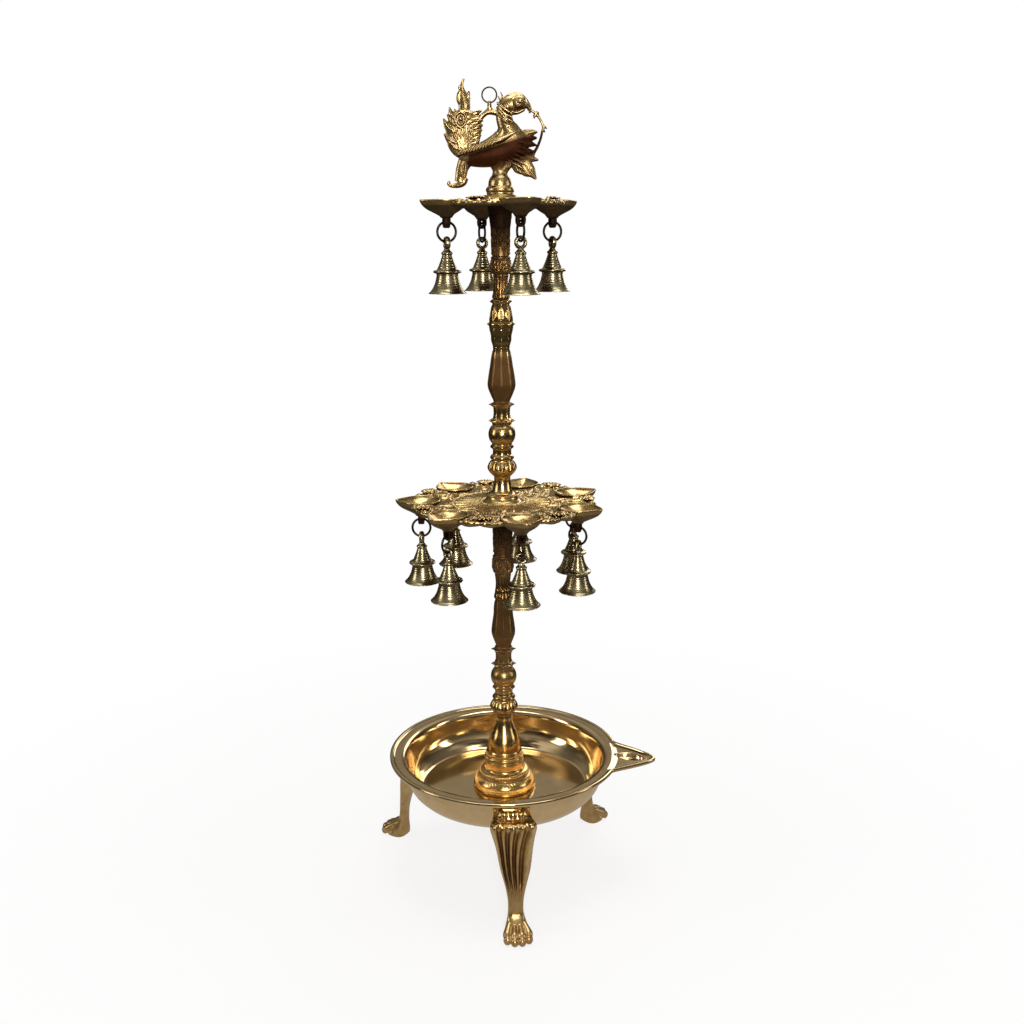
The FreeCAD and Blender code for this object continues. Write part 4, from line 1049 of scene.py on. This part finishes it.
def make_tray(tier, materials):
    """A cast tray: relief plate with lobed edge, pointed cups, fans between the cups."""
    node, layout = tier + "_tray", TIERS[tier]
    hinges = [joint for child, joint in joints.items() if child.startswith(tier + "_ring")]
    places = np.array([joint["pos_m"][:2] for joint in hinges]) / MM
    turns = np.arctan2(places[:, 1], places[:, 0])
    hang, count = float(np.hypot(*places[0])), len(hinges)
    base, hub_top = low(node)[2], high(node)[2]
    rim = hinges[0]["pos_m"][2] / MM + HOLE_DROP
    plate_top = rim - 1.6
    plate_under = plate_top - 4.0
    inner = HUB_RADIUS
    step = TAU / count
    columns = layout["columns"] * count
    angle = np.arange(columns) * TAU / columns
    local = corner_gap(angle - turns[0], count)[None, :]

    away = np.abs(local[0]) / (step / 2)
    edge = (hang + layout["edge"] - 6.0 * (1 - smoothstep(away, 0.30, 0.62))
            + 1.3 * np.abs(np.sin(away * math.pi * 3.5))
            - 2.2 * smoothstep(np.abs(away - 1.0), 0.12, 0.0))

    share = np.linspace(0, 1, layout["rows"])[:, None]
    radius = inner + (edge - inner) * share
    in_cup = cup_section(radius, local, hang)
    dish = -1.2 * smoothstep(radius, inner + 4, inner + 16) * (
        1 - smoothstep(radius, hang * 0.72, hang * 0.95))
    leaves = tray_relief(radius, local, hang, count)
    top = plate_top + dish + leaves * smoothstep(in_cup, 1.0, 1.12)
    top = top + 2.6 * (1 - smoothstep(radius, inner, inner + 3.0))
    # inside a cup the plate runs hidden within the cup's wall
    bowl = rim - CUP_DEPTH * np.cos(np.clip(in_cup, 0, 1) * math.pi / 2) ** 0.85 - 1.0
    sink = 1 - smoothstep(in_cup, 0.86, 1.0)
    top = top * (1 - sink) + np.minimum(top, bowl) * sink

    neck = 9.6
    share_low = np.linspace(1, 0, 26)[:, None] ** 1.4
    radius_low = neck + (edge - neck) * share_low
    in_cup_low = cup_section(radius_low, local, hang)
    bottom = plate_under - 1.2 * np.abs(np.sin(local * count * 2)) * smoothstep(
        radius_low, inner + 8, hang)
    bottom = bottom - (plate_under - base) * (1 - smoothstep(radius_low, neck, neck + 3.0))
    bowl_low = rim - (CUP_DEPTH + 0.6) * np.cos(
        np.clip(in_cup_low, 0, 1) * math.pi / 2) ** 0.85 - 1.4
    bottom = np.where(in_cup_low < 0.95, np.minimum(bowl_low, rim - 3.0), bottom)
    bottom[0] = np.minimum(bottom[0], top[-1] - 3.3)

    def ring(radii, heights):
        radii = np.broadcast_to(radii, columns)
        return np.stack([radii * np.cos(angle), radii * np.sin(angle),
                         np.broadcast_to(heights, columns)], axis=1)

    rows = [ring(5.2, hub_top), ring(9.0, hub_top), ring(inner - 2.0, hub_top),
            ring(inner - 0.8, hub_top - 0.2), ring(inner - 0.4, hub_top - 0.8)]
    rows += [ring(*row) for row in zip(radius, top)]
    rows += [ring(edge + past, top[-1] - drop)
             for past, drop in ((0.7, 0.8), (0.9, 1.9), (0.5, 3.0))]
    rows += [ring(*row) for row in zip(radius_low, bottom)]
    rows.append(ring(5.2, base))
    shell = Shell()
    shell.add(*surface(np.array(rows), closed_rows=True), flip=True)
    for turn in turns:
        add_cup(shell, hang, turn, rim)
    for turn in turns + step / 2:
        add_fan(shell, hang + layout["fan"], turn, rim)
        for hand in (-1, 1):
            add_curl(shell, hang + layout["curl"], turn + hand * step * 0.17, rim, hand)
    piece = shell.piece(node + "_casting", materials[node])
    # the hub under the plate takes the column's material, and with it the painted shadow under the
    # tray
    piece.data.materials.append(materials[tier + "_column"])
    for polygon in piece.data.polygons:
        centre = polygon.center / MM
        if math.hypot(centre.x, centre.y) < 15.0 and centre.z < plate_top - 3.0:
            polygon.material_index = 1
    finish_piece(piece, "stand", node)


def add_fan(shell, foot, turn, rim):
    """A ribbed fan of petals that rises and leans out at the tray's edge."""
    spread = math.radians(66)
    t = np.linspace(0, 1, 9)
    widths = 1.75 * leaf_widths(9, 0.62, 0.25)
    for number in range(7):
        lean = -spread + 2 * spread * number / 6
        length = 12.5 * (0.80 + 0.20 * math.cos(lean))
        path = np.stack([math.cos(lean) * length * t, math.sin(lean) * length * t,
                         rim - 2.0 + 3.2 * np.sin(t * math.pi * 0.62)], axis=1)
        place(shell, sweep(path, widths, widths * 0.85, 10, (0, 0, 1)), foot, turn)
    place(shell, ellipsoid((0.5, 0, rim - 0.6), (2.6, 2.6, 2.2)), foot, turn)


def add_curl(shell, foot, turn, rim, hand):
    """A small scroll beside a cup, standing on the tray's edge."""
    flat = spiral((0.0, 0.0), 4.2, 1.35, 0.3 * hand, 22, -hand)
    t = np.linspace(0, 1, len(flat))
    path = np.stack([flat[:, 0], flat[:, 1], rim - 2.0 + 1.4 * t], axis=1)
    widths = np.interp(t, [0, 0.2, 1], [0.7, 1.35, 1.1])
    place(shell, sweep(path, widths, widths, 10, (0, 0, 1)), foot, turn)
    place(shell, ellipsoid((0, 0, rim - 0.4), (1.5, 1.5, 1.5), 14, 8), foot, turn)


# ------------------------------------------------------------------ rings, bells, clappers

RING_RADIUS = 9.4
CROWN_DROP = 6.5
LATHE_LINES = (-13.2, -16.4, -21.0, -23.6, -31.6, -37.0, -38.6, -44.2, -46.0)
# a bell's wall below its loop, from its crown to its mouth and back up inside
BELL = [
    [(0.4, -4.4), (1.6, -4.4), (2.5, -4.7)],
    [(3.0, -6.2), (4.0, -7.6), (4.9, -8.4)],
    [(5.6, -9.2), (5.6, -10.1), (4.9, -10.8)],
    [(4.8, -11.6), (5.6, -14.0), (7.0, -18.0), (8.6, -21.8), (9.7, -24.2), (10.2, -25.2)],
    [(10.7, -25.5), (11.2, -25.6)],
    [(12.8, -26.0), (13.6, -26.6), (13.8, -27.3), (13.5, -28.1), (12.4, -28.6)],
    [(11.2, -29.0), (10.6, -29.5)],
    [(10.8, -32.0), (11.6, -35.6), (12.8, -39.2), (14.4, -42.6), (16.4, -45.4),
     (18.3, -47.4)],
    [(18.9, -47.9), (18.6, -48.3)],
    [(17.9, -48.3), (17.2, -47.9)],
    [(15.0, -45.2), (12.8, -41.4), (11.0, -37.4), (9.6, -33.0), (9.0, -29.4),
     (8.4, -25.6), (6.4, -20.4), (4.2, -17.2), (0.4, -16.6)],
]
STRIKER = [[(0.3, -2.2), (0.85, -2.3), (0.85, -10), (0.9, -16), (1.5, -18.3), (2.9, -19.6),
            (3.4, -21.5), (2.9, -23.4), (1.5, -24.6), (0.3, -24.85)]]


def groove(radius, level, angle):
    """Fine lathe lines round a bell."""
    lines = 0.0
    for height in LATHE_LINES:
        lines = lines + bump_at(level, height, 0.28)
    return radius - 0.22 * lines * (radius > 4.5)


def make_bell_meshes(materials):
    """One bell, one ring and one clapper, drawn about the origin with +X outwards."""
    bell, ring, clapper = Shell(), Shell(), Shell()
    bell.add(*surface(lathe_grid(outline(BELL, 0.45), 96, groove)), flip=True)
    bell.add(*torus((0, 0, 0), 4.7, 1.8, 2.5, math.pi / 2, 48, 16))
    bar = smooth_line([(0, -7.6, -21.0), (0, 7.6, -21.0)], 1.5)
    bell.add(*sweep(bar, 1.0, 1.0, 16, (1, 0, 0)))
    ring.add(*torus((0, 0, 0), RING_RADIUS, 1.2, 1.2, 0.0, 72, 14))
    clapper.add(*torus((0, 0, 0), 1.82, 0.75, 1.1, 0.0, 28, 12))
    clapper.add(*surface(lathe_grid(outline(STRIKER, 0.5), 24)), flip=True)
    meshes = {}
    for kind, shell, look in (("bell", bell, "bell"), ("ring", ring, "wire"),
                              ("clapper", clapper, "bell")):
        template = shell.piece(kind + "_template", materials[look])
        meshes[kind] = template.data
        bpy.data.objects.remove(template)
    return meshes


def make_bell_sets(materials):
    meshes = make_bell_meshes(materials)
    slots = {"bell": "antique_brass", "ring": "ring_wire", "clapper": "antique_brass"}
    for child, joint in joints.items():
        kind = next(word for word in slots if word in child)
        centre = np.array(joint["pos_m"]) / MM
        turn = math.atan2(centre[1], centre[0])
        if kind == "ring":
            centre[2] -= RING_RADIUS
        if kind == "bell":
            centre[2] = high(child)[2] - CROWN_DROP
        mesh = meshes[kind].copy()
        mesh.transform(Matrix.Translation(Vector(centre) * MM) @ Matrix.Rotation(turn, 4, "Z"))
        finish_piece(show(child + "_shape", mesh), child, child)


# ------------------------------------------------------------------ peacock finial

# as (foot, tip, half width): buds on the stalk in the beak
STALK_BUDS = (((34, 76), (38.2, 75.4), 1.6), ((34, 75), (33.2, 70.4), 1.6),
              ((35, 74.5), (37.6, 71), 1.4), ((41, 64), (45.6, 61.2), 1.3),
              ((41, 61), (44.0, 57.8), 1.1))
# as (foot, middle, tip, half width): leaves before the breast, flames of the train
BREAST_LEAVES = (
    ((18, 54), (28, 57.4), (36.5, 58.6), 4.6), ((20, 51), (29, 52.6), (36, 53.0), 3.6),
    ((20, 46), (28, 47.4), (35.0, 46.4), 3.8), ((20, 41), (27, 40.6), (33.6, 40.0), 3.6),
    ((20, 36), (28, 34.4), (37.4, 32.4), 4.0), ((17, 34), (26, 26.4), (35.2, 14.6), 7.0),
    ((19, 30), (24, 21.6), (30, 17.4), 4.4), ((14, 33), (16, 25.0), (21.0, 19.6), 4.2))
TRAIN_FEATHERS = (
    ((-39, 66), (-45.4, 73), (-48.2, 82.0), 4.2), ((-36, 70), (-41.0, 75), (-43.6, 80.4), 3.2),
    ((-40, 58), (-49.0, 62.5), (-54.2, 71.6), 4.6), ((-38, 62), (-46, 68.0), (-50.6, 75.4), 3.0),
    ((-39, 48), (-47.6, 51.0), (-54.0, 57.6), 4.4), ((-36, 42), (-43.0, 44.0), (-49.6, 50.0), 3.2))


def make_finial(materials):
    """A flat-cast peacock; its places are (across, up) from the stem's axis and its foot.

    A vine is a bar along such places, with half widths across and half depths deep
    that are spread evenly along it.
    """
    base = low("peacock_finial")[2]
    shell = Shell()

    def vine(points, across, deep, sides=14, y=0.0, step=1.0):
        line = np.array([(x, y, z + base) for x, z in points], dtype=float)
        line = smooth_line(line, step)
        t = np.linspace(0, 1, len(line))
        wide = np.interp(t, np.linspace(0, 1, len(across)), across)
        thick = np.interp(t, np.linspace(0, 1, len(deep)), deep)
        shell.add(*sweep(line, wide, thick, sides))

    def both_sides(points, across, deep, y, sides=8, step=1.0):
        vine(points, across, deep, sides, y, step)
        vine(points, across, deep, sides, -y, step)

    # turned bead and waist under the bird
    profile = outline([
        [(0.4, 0), (6, 0), (12.6, 0)],
        [(13.2, 1.2), (12.8, 2.0)],
        [(13.8, 3.4), (14.0, 5.0), (13.4, 6.8), (11.6, 8.4)],
        [(11.5, 10.6), (11.0, 13.6), (9.8, 16.2), (8.2, 18.2)],
        [(7.4, 20.4), (7.2, 23.0), (8.0, 26.0), (9.6, 30.0), (9, 34), (0.4, 35)]], 0.7)
    grid = lathe_grid(profile, 96)
    grid[:, :, 2] += base
    shell.add(*surface(grid))

    # boat-shaped body with a raised feathered rim
    vine([(-38, 35.5), (-28, 34.5), (-14, 36), (2, 40), (16, 45), (25, 49)],
         [4.0, 7.6, 9.6, 11.2, 12.0, 10.0, 5.0], [5.0, 9.0, 12.0, 13.4, 12.6, 10.0, 5.0],
         28)
    vine([(-41, 38.4), (-30, 41.0), (-14, 45.4), (2, 51), (15, 57)],
         [2.4, 3.8, 4.2, 4.2, 3.0], [6.5, 11.0, 13.4, 13.0, 9.0], 24)
    for number in range(19):
        t = number / 18
        x = -38 + 52 * t
        z = 40.2 + 15.4 * t - 1.2 * math.sin(t * math.pi)
        reach = 12.2 - 8.0 * abs(t - 0.48) ** 1.6 * 2
        both_sides([(x - 1.8, z - 3.6), (x, z), (x + 2.0, z + 3.6)], [0.7, 1.2, 0.6],
                   [1.2, 1.9, 1.0], reach, step=1.6)

    # the hull's middle narrows into the waist below it
    for lean, thick in ((-9.0, 7.4), (-4.5, 8.4), (0.0, 9.0), (5.0, 8.4), (10.0, 7.2)):
        vine([(2.0 + lean * 1.5, 42), (2.0 + lean, 35), (1.0 + lean * 0.62, 29.5),
              (0.5 + lean * 0.30, 25), (0.2, 20.5)],
             [6.0, 6.0, 5.6, 5.4, 6.6], [thick, thick, thick * 0.9, 7.0, 6.8], 20)
    # the back rises into the neck
    vine([(-20, 45.5), (-8, 49.5), (1, 55.0), (4, 63)], [3.0, 5.0, 6.6, 5.0],
         [5.5, 7.0, 7.8, 6.4], 24)

    # wing feathers on the breast and hull
    for number in range(6):
        lean = number / 5
        both_sides([(8 + 3.0 * lean, 51 - 4.2 * number), (17, 49.5 - 4.4 * number),
                    (26.5 - 1.2 * lean, 47 - 5.0 * number)],
                   [0.9, 1.5, 0.6], [1.2, 1.5, 0.8], 8.6 - 0.5 * number)
    for number in range(4):
        both_sides([(6 - 3 * number, 34 - 1.6 * number), (10 - 2 * number, 29.5 - 0.8 * number),
                    (9 - 2 * number, 24.5)], [0.7, 1.1, 0.5], [0.8, 1.0, 0.6],
                   8.2 - 0.9 * number)

    # neck, its necklaces and the head
    vine([(9, 42), (11.5, 50), (9.5, 58), (6.0, 66), (4.0, 74), (6, 81)],
         [17.0, 15.6, 11.6, 8.4, 7.6, 7.0], [10.5, 10.5, 8.8, 7.2, 6.8, 6.2], 26)
    for number in range(3):
        lift = 3.3 * number
        across = 7.9 - 0.25 * number
        line = [(5.4 - 0.5 * number + across * math.cos(turn) * 0.92,
                 (7.4 - 0.2 * number) * math.sin(turn),
                 base + 68 + lift - across * math.cos(turn) * 0.86)
                for turn in np.linspace(0, TAU, 26)]
        shell.add(*sweep(line, 1.15, 1.15, 10, (0, 0, 1)))
    shell.add(*ellipsoid((12.9, 0, base + 83.8), (15.0, 8.6, 9.4), 32, 20,
                         Matrix.Rotation(math.radians(-10), 4, "Y")))
    for side in (-1, 1):
        shell.add(*ellipsoid((18.5, side * 7.6, base + 85.0), (6.6, 2.2, 5.2), 28, 14,
                             Matrix.Rotation(math.radians(-18), 4, "Y")))
        shell.add(*ellipsoid((19.5, side * 9.4, base + 85.4), (2.2, 1.2, 1.8), 16, 10))
        shell.add(*ellipsoid((7.4, side * 7.2, base + 81.4), (2.6, 1.6, 3.2), 16, 10))
    # three strings of beads that slant across the neck
    for number in range(3):
        drop = 3.6 * number
        both_sides([(-2.6 + 0.6 * number, 85.5 - drop), (4.5, 79.0 - drop), (12.6, 74.6 - drop)],
                   [0.7, 1.15, 0.7], [1.2, 1.5, 1.2], 6.6, 10)
    # eyelid ridge, cheek line and crest along the head's top
    for side in (-1, 1):
        vine([(10.5, 84), (13.5, 89.6), (19.5, 91.3), (25, 88.5), (26.4, 84)],
             [0.7, 1.0, 0.7], [1.0, 1.2, 0.9], 10, side * 6.6)
        vine([(4.5, 78.5), (11, 75.8), (18, 76.2), (24.6, 79)], [0.7, 1.0, 0.6],
             [1.0, 1.2, 0.8], 10, side * 5.6)
    vine([(2.0, 84), (6, 90), (13, 93.2), (20, 93.0), (25, 90)], [0.8, 1.5, 1.4, 0.8],
         [1.2, 2.2, 2.0, 1.0], 12)
    for x, z in ((-1.5, 92.0), (0.8, 95.4)):
        vine([(4.5, 84), (x + 1.5, z - 3), (x, z)], [1.6, 1.2, 0.4], [1.8, 1.3, 0.5], 10)
    # beak and the flowering stalk that it holds
    vine([(24, 85), (28.0, 81.5), (29.4, 78.0), (28.6, 75.6)], [5.0, 3.4, 2.0, 0.8],
         [4.4, 3.0, 1.8, 0.8])
    vine([(27, 79.5), (31.5, 77.6), (36, 74.5), (39.6, 69), (42.0, 63.4), (41.0, 58.6),
          (39.4, 52), (36.5, 45), (33.0, 39), (30.5, 33)],
         [1.2, 1.3, 1.3, 1.2, 1.3, 1.2, 1.3, 1.4, 1.6, 1.8], [1.3, 1.3, 1.4, 1.4, 1.5, 1.8],
         12)
    for foot, tip, width in STALK_BUDS:
        vine([foot, ((foot[0] + tip[0]) / 2, (foot[1] + tip[1]) / 2 + 0.6), tip],
             [0.8, width, 0.4], [0.9, 1.5, 0.5], 10)
    # leaves that hang in front of the breast
    for foot, middle, tip, width in BREAST_LEAVES:
        vine([foot, middle, tip], [width * 0.9, width, width * 0.8, 1.0],
             [1.6, 2.4, 2.2, 0.8])
        both_sides([foot, middle, tip], [0.4, 0.55, 0.3], [0.5, 0.6, 0.4], 2.2)

    # tail foot: a scrolled leg that curls outwards at its toe
    vine([(-30, 38), (-34, 31), (-37.0, 24), (-38.2, 17.5), (-39.4, 12.5)],
         [8.4, 7.2, 6.0, 5.6, 5.0], [6.0, 5.2, 4.4, 3.8, 3.4], 22)
    vine([(-33, 34), (-33.5, 26), (-34.5, 19), (-36, 14)], [2.6, 2.8, 2.4, 1.8],
         [6.2, 5.2, 4.6, 4.0], 16)
    vine([(-33.0, 16.5), (-36.5, 11.6), (-42, 9.4), (-48.0, 9.2), (-50.6, 11.4), (-48.8, 13.4)],
         [2.6, 3.4, 3.0, 2.2, 1.7, 1.2], [3.2, 3.8, 3.4, 2.6, 2.2, 1.6])
    both_sides([(-35, 32), (-37.4, 24), (-37, 17)], [0.6, 0.9, 0.5], [0.8, 1.0, 0.6], 4.6)

    make_train(vine, both_sides, shell, base)

    # arch from the train to the neck, and the stub that carries the ring
    vine([(-20, 70), (-16.5, 73.5), (-12, 76.6), (-6, 76.8), (0, 75), (4, 73)],
         [2.6, 2.4, 2.4, 2.6, 2.8, 3.0], [2.8, 2.8, 3.0, 3.2, 3.4, 4.0])
    vine([(-13.6, 76), (-10, 79.2), (-9.7, 83), (-9.7, 87.2)], [2.4, 2.4, 2.2, 1.6],
         [2.6, 2.4, 2.2, 1.6])
    vine([(-5, 77), (-9, 79.5), (-9.7, 83)], [2.0, 2.2, 2.0], [2.6, 2.4, 2.2])

    piece = shell.piece("peacock_casting", materials["finial"])
    remesh(piece, 0.42, rounds=1, factor=0.4)
    dress(piece, materials["finial"])
    finish_piece(piece, "stand", "peacock_finial")

    ring = Shell()
    centre = (low("hanging_ring") + high("hanging_ring")) / 2
    ring.add(*torus(centre, 7.0, 0.75, 0.75, 0.0, 72, 12))
    wire = ring.piece("hanging_ring_wire", materials["wire"])
    finish_piece(wire, "stand", "hanging_ring")


def make_train(vine, both_sides, shell, base):
    """The raised tail: lobed feathers round an eyed centre, with a flame on top."""
    # solid middle that holds the feathers together
    vine([(-32, 38), (-35.5, 47), (-35.0, 58), (-33.5, 68), (-33, 77)],
         [8.5, 15.0, 17.4, 16.6, 9.5], [2.6, 2.8, 2.6, 2.4, 2.2], 30)
    # left-hand feathers, flame shaped, with a vein and an edge line
    for foot, middle, tip, width in TRAIN_FEATHERS:
        vine([foot, middle, tip], [width * 0.9, width, width * 0.66, 0.6],
             [2.4, 2.6, 2.0, 0.9], 16)
        both_sides([foot, middle, tip], [0.5, 0.6, 0.4], [0.7, 0.8, 0.4], 2.5)
        for hand in (-1, 1):
            shifted = [(x + hand * 0.55 * width * bend, z - hand * 0.4 * width * bend)
                       for (x, z), bend in zip((foot, middle, tip), (0.9, 1.0, 0.0))]
            both_sides(shifted, [0.4, 0.5, 0.3], [0.5, 0.6, 0.3], 2.1)
    # right-hand plumes sweep up to their rounded ends
    for number in range(7):
        z = 49.0 + 4.4 * number
        reach = -19.4 + 3.4 * math.sin(number / 6 * math.pi * 0.8)
        vine([(-32, z - 3.6), (-27, z - 0.6), (-23, z + 0.2), (reach, z + 3.2)],
             [1.6, 2.2, 2.2, 1.1], [2.2, 2.7, 2.6, 1.3])
        both_sides([(-31, z - 1.2), (-26, z + 1.2), (reach - 1, z + 3.4)], [0.35, 0.6, 0.3],
                   [0.5, 0.8, 0.4], 2.7)
    # flame lines that spread from the foot of the train round its eye
    for number in range(6):
        lean = number - 2.5
        both_sides([(-34.5 + 0.6 * lean, 42), (-35.5 + 2.3 * lean, 51),
                    (-35.5 + 3.4 * lean, 60 - 1.2 * abs(lean)),
                    (-36.0 + 4.3 * lean, 69 - 2.0 * abs(lean))],
                   [0.5, 0.8, 0.8, 0.4], [0.7, 1.0, 1.0, 0.5], 2.5)
    # large eye of the train
    for side in (-1, 1):
        for half_width, half_height, thick in ((5.4, 6.2, 0.75), (3.2, 3.8, 0.7)):
            line = []
            for turn in np.linspace(0, TAU, 30):
                pointed = 1 + 0.22 * max(0.0, -math.sin(turn)) ** 3
                line.append((-37.5 + half_width * math.cos(turn),
                             side * 2.7, base + 70.5 + half_height * math.sin(turn) * pointed))
            shell.add(*sweep(line, thick, 0.9, 10))
        shell.add(*ellipsoid((-37.5, side * 2.6, base + 70.8), (1.6, 1.3, 2.0), 16, 10))
        for lean in (-1, 0, 1):
            y = side * 2.6
            vine([(-37.5 + 1.6 * lean, 55), (-37.5 + 2.6 * lean, 48),
                  (-36 + 2.2 * lean, 41.5)], [0.6, 1.0, 0.5], [0.7, 0.9, 0.5], 8, y)
    # collar and flame
    vine([(-43.4, 74.6), (-38, 77.6), (-33, 78.0), (-28.0, 76.4), (-22, 74)],
         [1.6, 2.3, 2.5, 2.2, 1.2], [2.6, 3.4, 3.4, 3.2, 1.6])
    vine([(-34.6, 76), (-33.6, 84), (-34.4, 92), (-35.8, 99), (-35.4, 104), (-33.8, 107.6)],
         [4.8, 5.8, 5.2, 3.2, 1.5, 0.9], [3.0, 3.2, 3.0, 2.2, 1.4, 0.8], 20)
    vine([(-35, 80), (-37.6, 86), (-39.0, 91.0), (-38.0, 95.6), (-35.6, 97)],
         [2.0, 2.8, 3.0, 2.2, 1.0], [1.8, 2.2, 2.1, 1.8, 1.0])
    vine([(-33, 79), (-31.0, 85), (-30.0, 91), (-29.2, 96.4)], [2.0, 2.6, 2.4, 1.0],
         [1.8, 2.2, 2.1, 1.0])
    vine([(-35.4, 96), (-38.6, 99.4), (-36.4, 102.6)], [1.2, 1.3, 0.5], [1.4, 1.3, 0.7],
         10)
    both_sides([(-34, 79), (-33.6, 87), (-35, 96)], [0.6, 0.8, 0.4], [0.7, 0.8, 0.5], 2.8)


# ------------------------------------------------------------------ CAD pieces that stay

def dress_fixings(material):
    for node in ("base_bolt", "base_washer"):
        dress(frame["nodes"][node], material)


# ------------------------------------------------------------------ stage, light, camera

FLOOR_HALF = 9.0
# as (distance from the lamp, twice its metres; value): how pure the floor's white is,
# and the colour that the brass mirrors, as if the room round it were dimmer
FLOOR_WHITE = [(0.10, 0.80), (0.40, 1.0)]
FLOOR_MIRRORED = [(0.10, (0.44, 0.41, 0.375)), (0.22, (0.23, 0.213, 0.19)),
                  (0.42, (0.022, 0.019, 0.015))]
# room colour by direction, from straight down at 0 to straight up at 1
ROOM = [(0.0, (0.02, 0.016, 0.012)), (0.48, (0.022, 0.019, 0.014)),
        (0.64, (0.075, 0.068, 0.052)), (1.0, (0.60, 0.575, 0.54))]
LAMP_MIDDLE = (0, 0, 0.42)
# soft boxes: place, width, height, power, colour
LIGHTS = {
    "key_front": ((0.12, -2.1, 1.05), 0.40, 1.3, 25, (1.0, 0.97, 0.93)),
    "fill_left": ((-2.0, -0.5, 1.0), 0.5, 1.1, 8, (1.0, 0.96, 0.9)),
    "fill_right": ((2.1, -0.3, 0.9), 0.4, 1.1, 6, (1.0, 0.97, 0.93)),
    "top": ((0.1, 0.1, 2.6), 1.5, 1.5, 30, (1, 1, 1)),
    "rim_back": ((0.9, 2.0, 1.2), 0.9, 1.2, 8, (1, 1, 1)),
}


def make_stage():
    mesh = bpy.data.meshes.new("floor")
    corners = [(x * FLOOR_HALF, y * FLOOR_HALF, 0)
               for x, y in ((-1, -1), (1, -1), (1, 1), (-1, 1))]
    mesh.from_pydata(corners, [], [(0, 1, 2, 3)])
    material = bpy.data.materials.new("floor_white")
    tree = Nodes(material)
    place = tree.add("ShaderNodeTexCoord").outputs["Object"]
    distance = tree.add("ShaderNodeVectorMath", operation="LENGTH")
    tree.feed(distance.inputs[0], place)
    distance = tree.math("MULTIPLY", distance.outputs["Value"], 0.5)
    pale = tree.add("ShaderNodeBsdfDiffuse", in_Color=(0.90, 0.90, 0.90))
    white = tree.add("ShaderNodeEmission", in_Color=(1, 1, 1), in_Strength=1.0)
    seen = tree.mix_shader(tree.ramp(distance, FLOOR_WHITE), pale.outputs[0],
                           white.outputs[0])
    # painted reflection: glossy rays see the floor glow, bright near the lamp and dim further out
    mirrored = tree.add("ShaderNodeEmission", in_Strength=1.0,
                        in_Color=tree.ramp(distance, FLOOR_MIRRORED))
    path = tree.add("ShaderNodeLightPath").outputs["Is Glossy Ray"]
    tree.add("ShaderNodeOutputMaterial",
             in_Surface=tree.mix_shader(path, seen, mirrored.outputs[0]))
    mesh.materials.append(material)
    show("floor", mesh)


def make_world():
    world = bpy.data.worlds.new("studio")
    bpy.context.scene.world = world
    tree = Nodes(world)
    direction = tree.add("ShaderNodeTexCoord").outputs["Generated"]
    height = tree.math("MULTIPLY", tree.axis(direction, "Z"), 0.5)
    room = tree.ramp(tree.math("ADD", height, 0.5), ROOM)
    patches = tree.add("ShaderNodeTexNoise", in_Scale=1.7, in_Detail=1.0,
                       in_Vector=direction)
    patch = tree.ramp(patches.outputs["Fac"], [(0.40, 0.25), (0.60, 1.0)])
    lit = tree.add("ShaderNodeBackground", in_Strength=1.3,
                   in_Color=tree.mix(1.0, room, patch, "MULTIPLY"))
    white = tree.add("ShaderNodeBackground", in_Color=(1, 1, 1), in_Strength=1.0)
    path = tree.add("ShaderNodeLightPath").outputs["Is Camera Ray"]
    tree.add("ShaderNodeOutputWorld",
             in_Surface=tree.mix_shader(path, lit.outputs[0], white.outputs[0]))


def make_lights():
    for name, (place, width, height, power, colour) in LIGHTS.items():
        data = bpy.data.lights.new(name, "AREA")
        data.shape = "RECTANGLE"
        data.size, data.size_y = width, height
        data.energy = power
        data.color = colour
        light = show(name, data)
        light.location = place
        aim = Vector(LAMP_MIDDLE) - Vector(place)
        light.rotation_euler = aim.to_track_quat("-Z", "Y").to_euler()


def make_camera():
    """The view point and its height as shares of the lamp's height, and its tilt."""
    tall = cad_bounds[1][2] - cad_bounds[0][2]
    data = bpy.data.cameras.new("camera")
    data.sensor_width = 36.0
    data.lens = 39.33
    data.shift_x = 0.0112
    camera = show("camera", data)
    camera.location = (0, -1.3656 * tall, 0.8126 * tall)
    camera.rotation_euler = (math.radians(90 - 13.4), math.radians(0.43), 0)
    bpy.context.scene.camera = camera


# ------------------------------------------------------------------ whole scene

make_camera()
materials = make_materials()
make_basin(materials)
make_legs(materials)
make_pedestal(materials)
for tier in TIERS:
    make_baluster(tier, materials["stem"])
make_vase(materials["stem"])
make_column("lower", materials["lower_column"], 94.0, 0.88)
make_column("upper", materials["upper_column"], 81.0, 0.80)
for tier in TIERS:
    make_tray(tier, materials)
make_bell_sets(materials)
make_finial(materials)
dress_fixings(materials["zinc"])
make_stage()
make_world()
make_lights()
bpy.context.scene.view_settings.view_transform = "Standard"
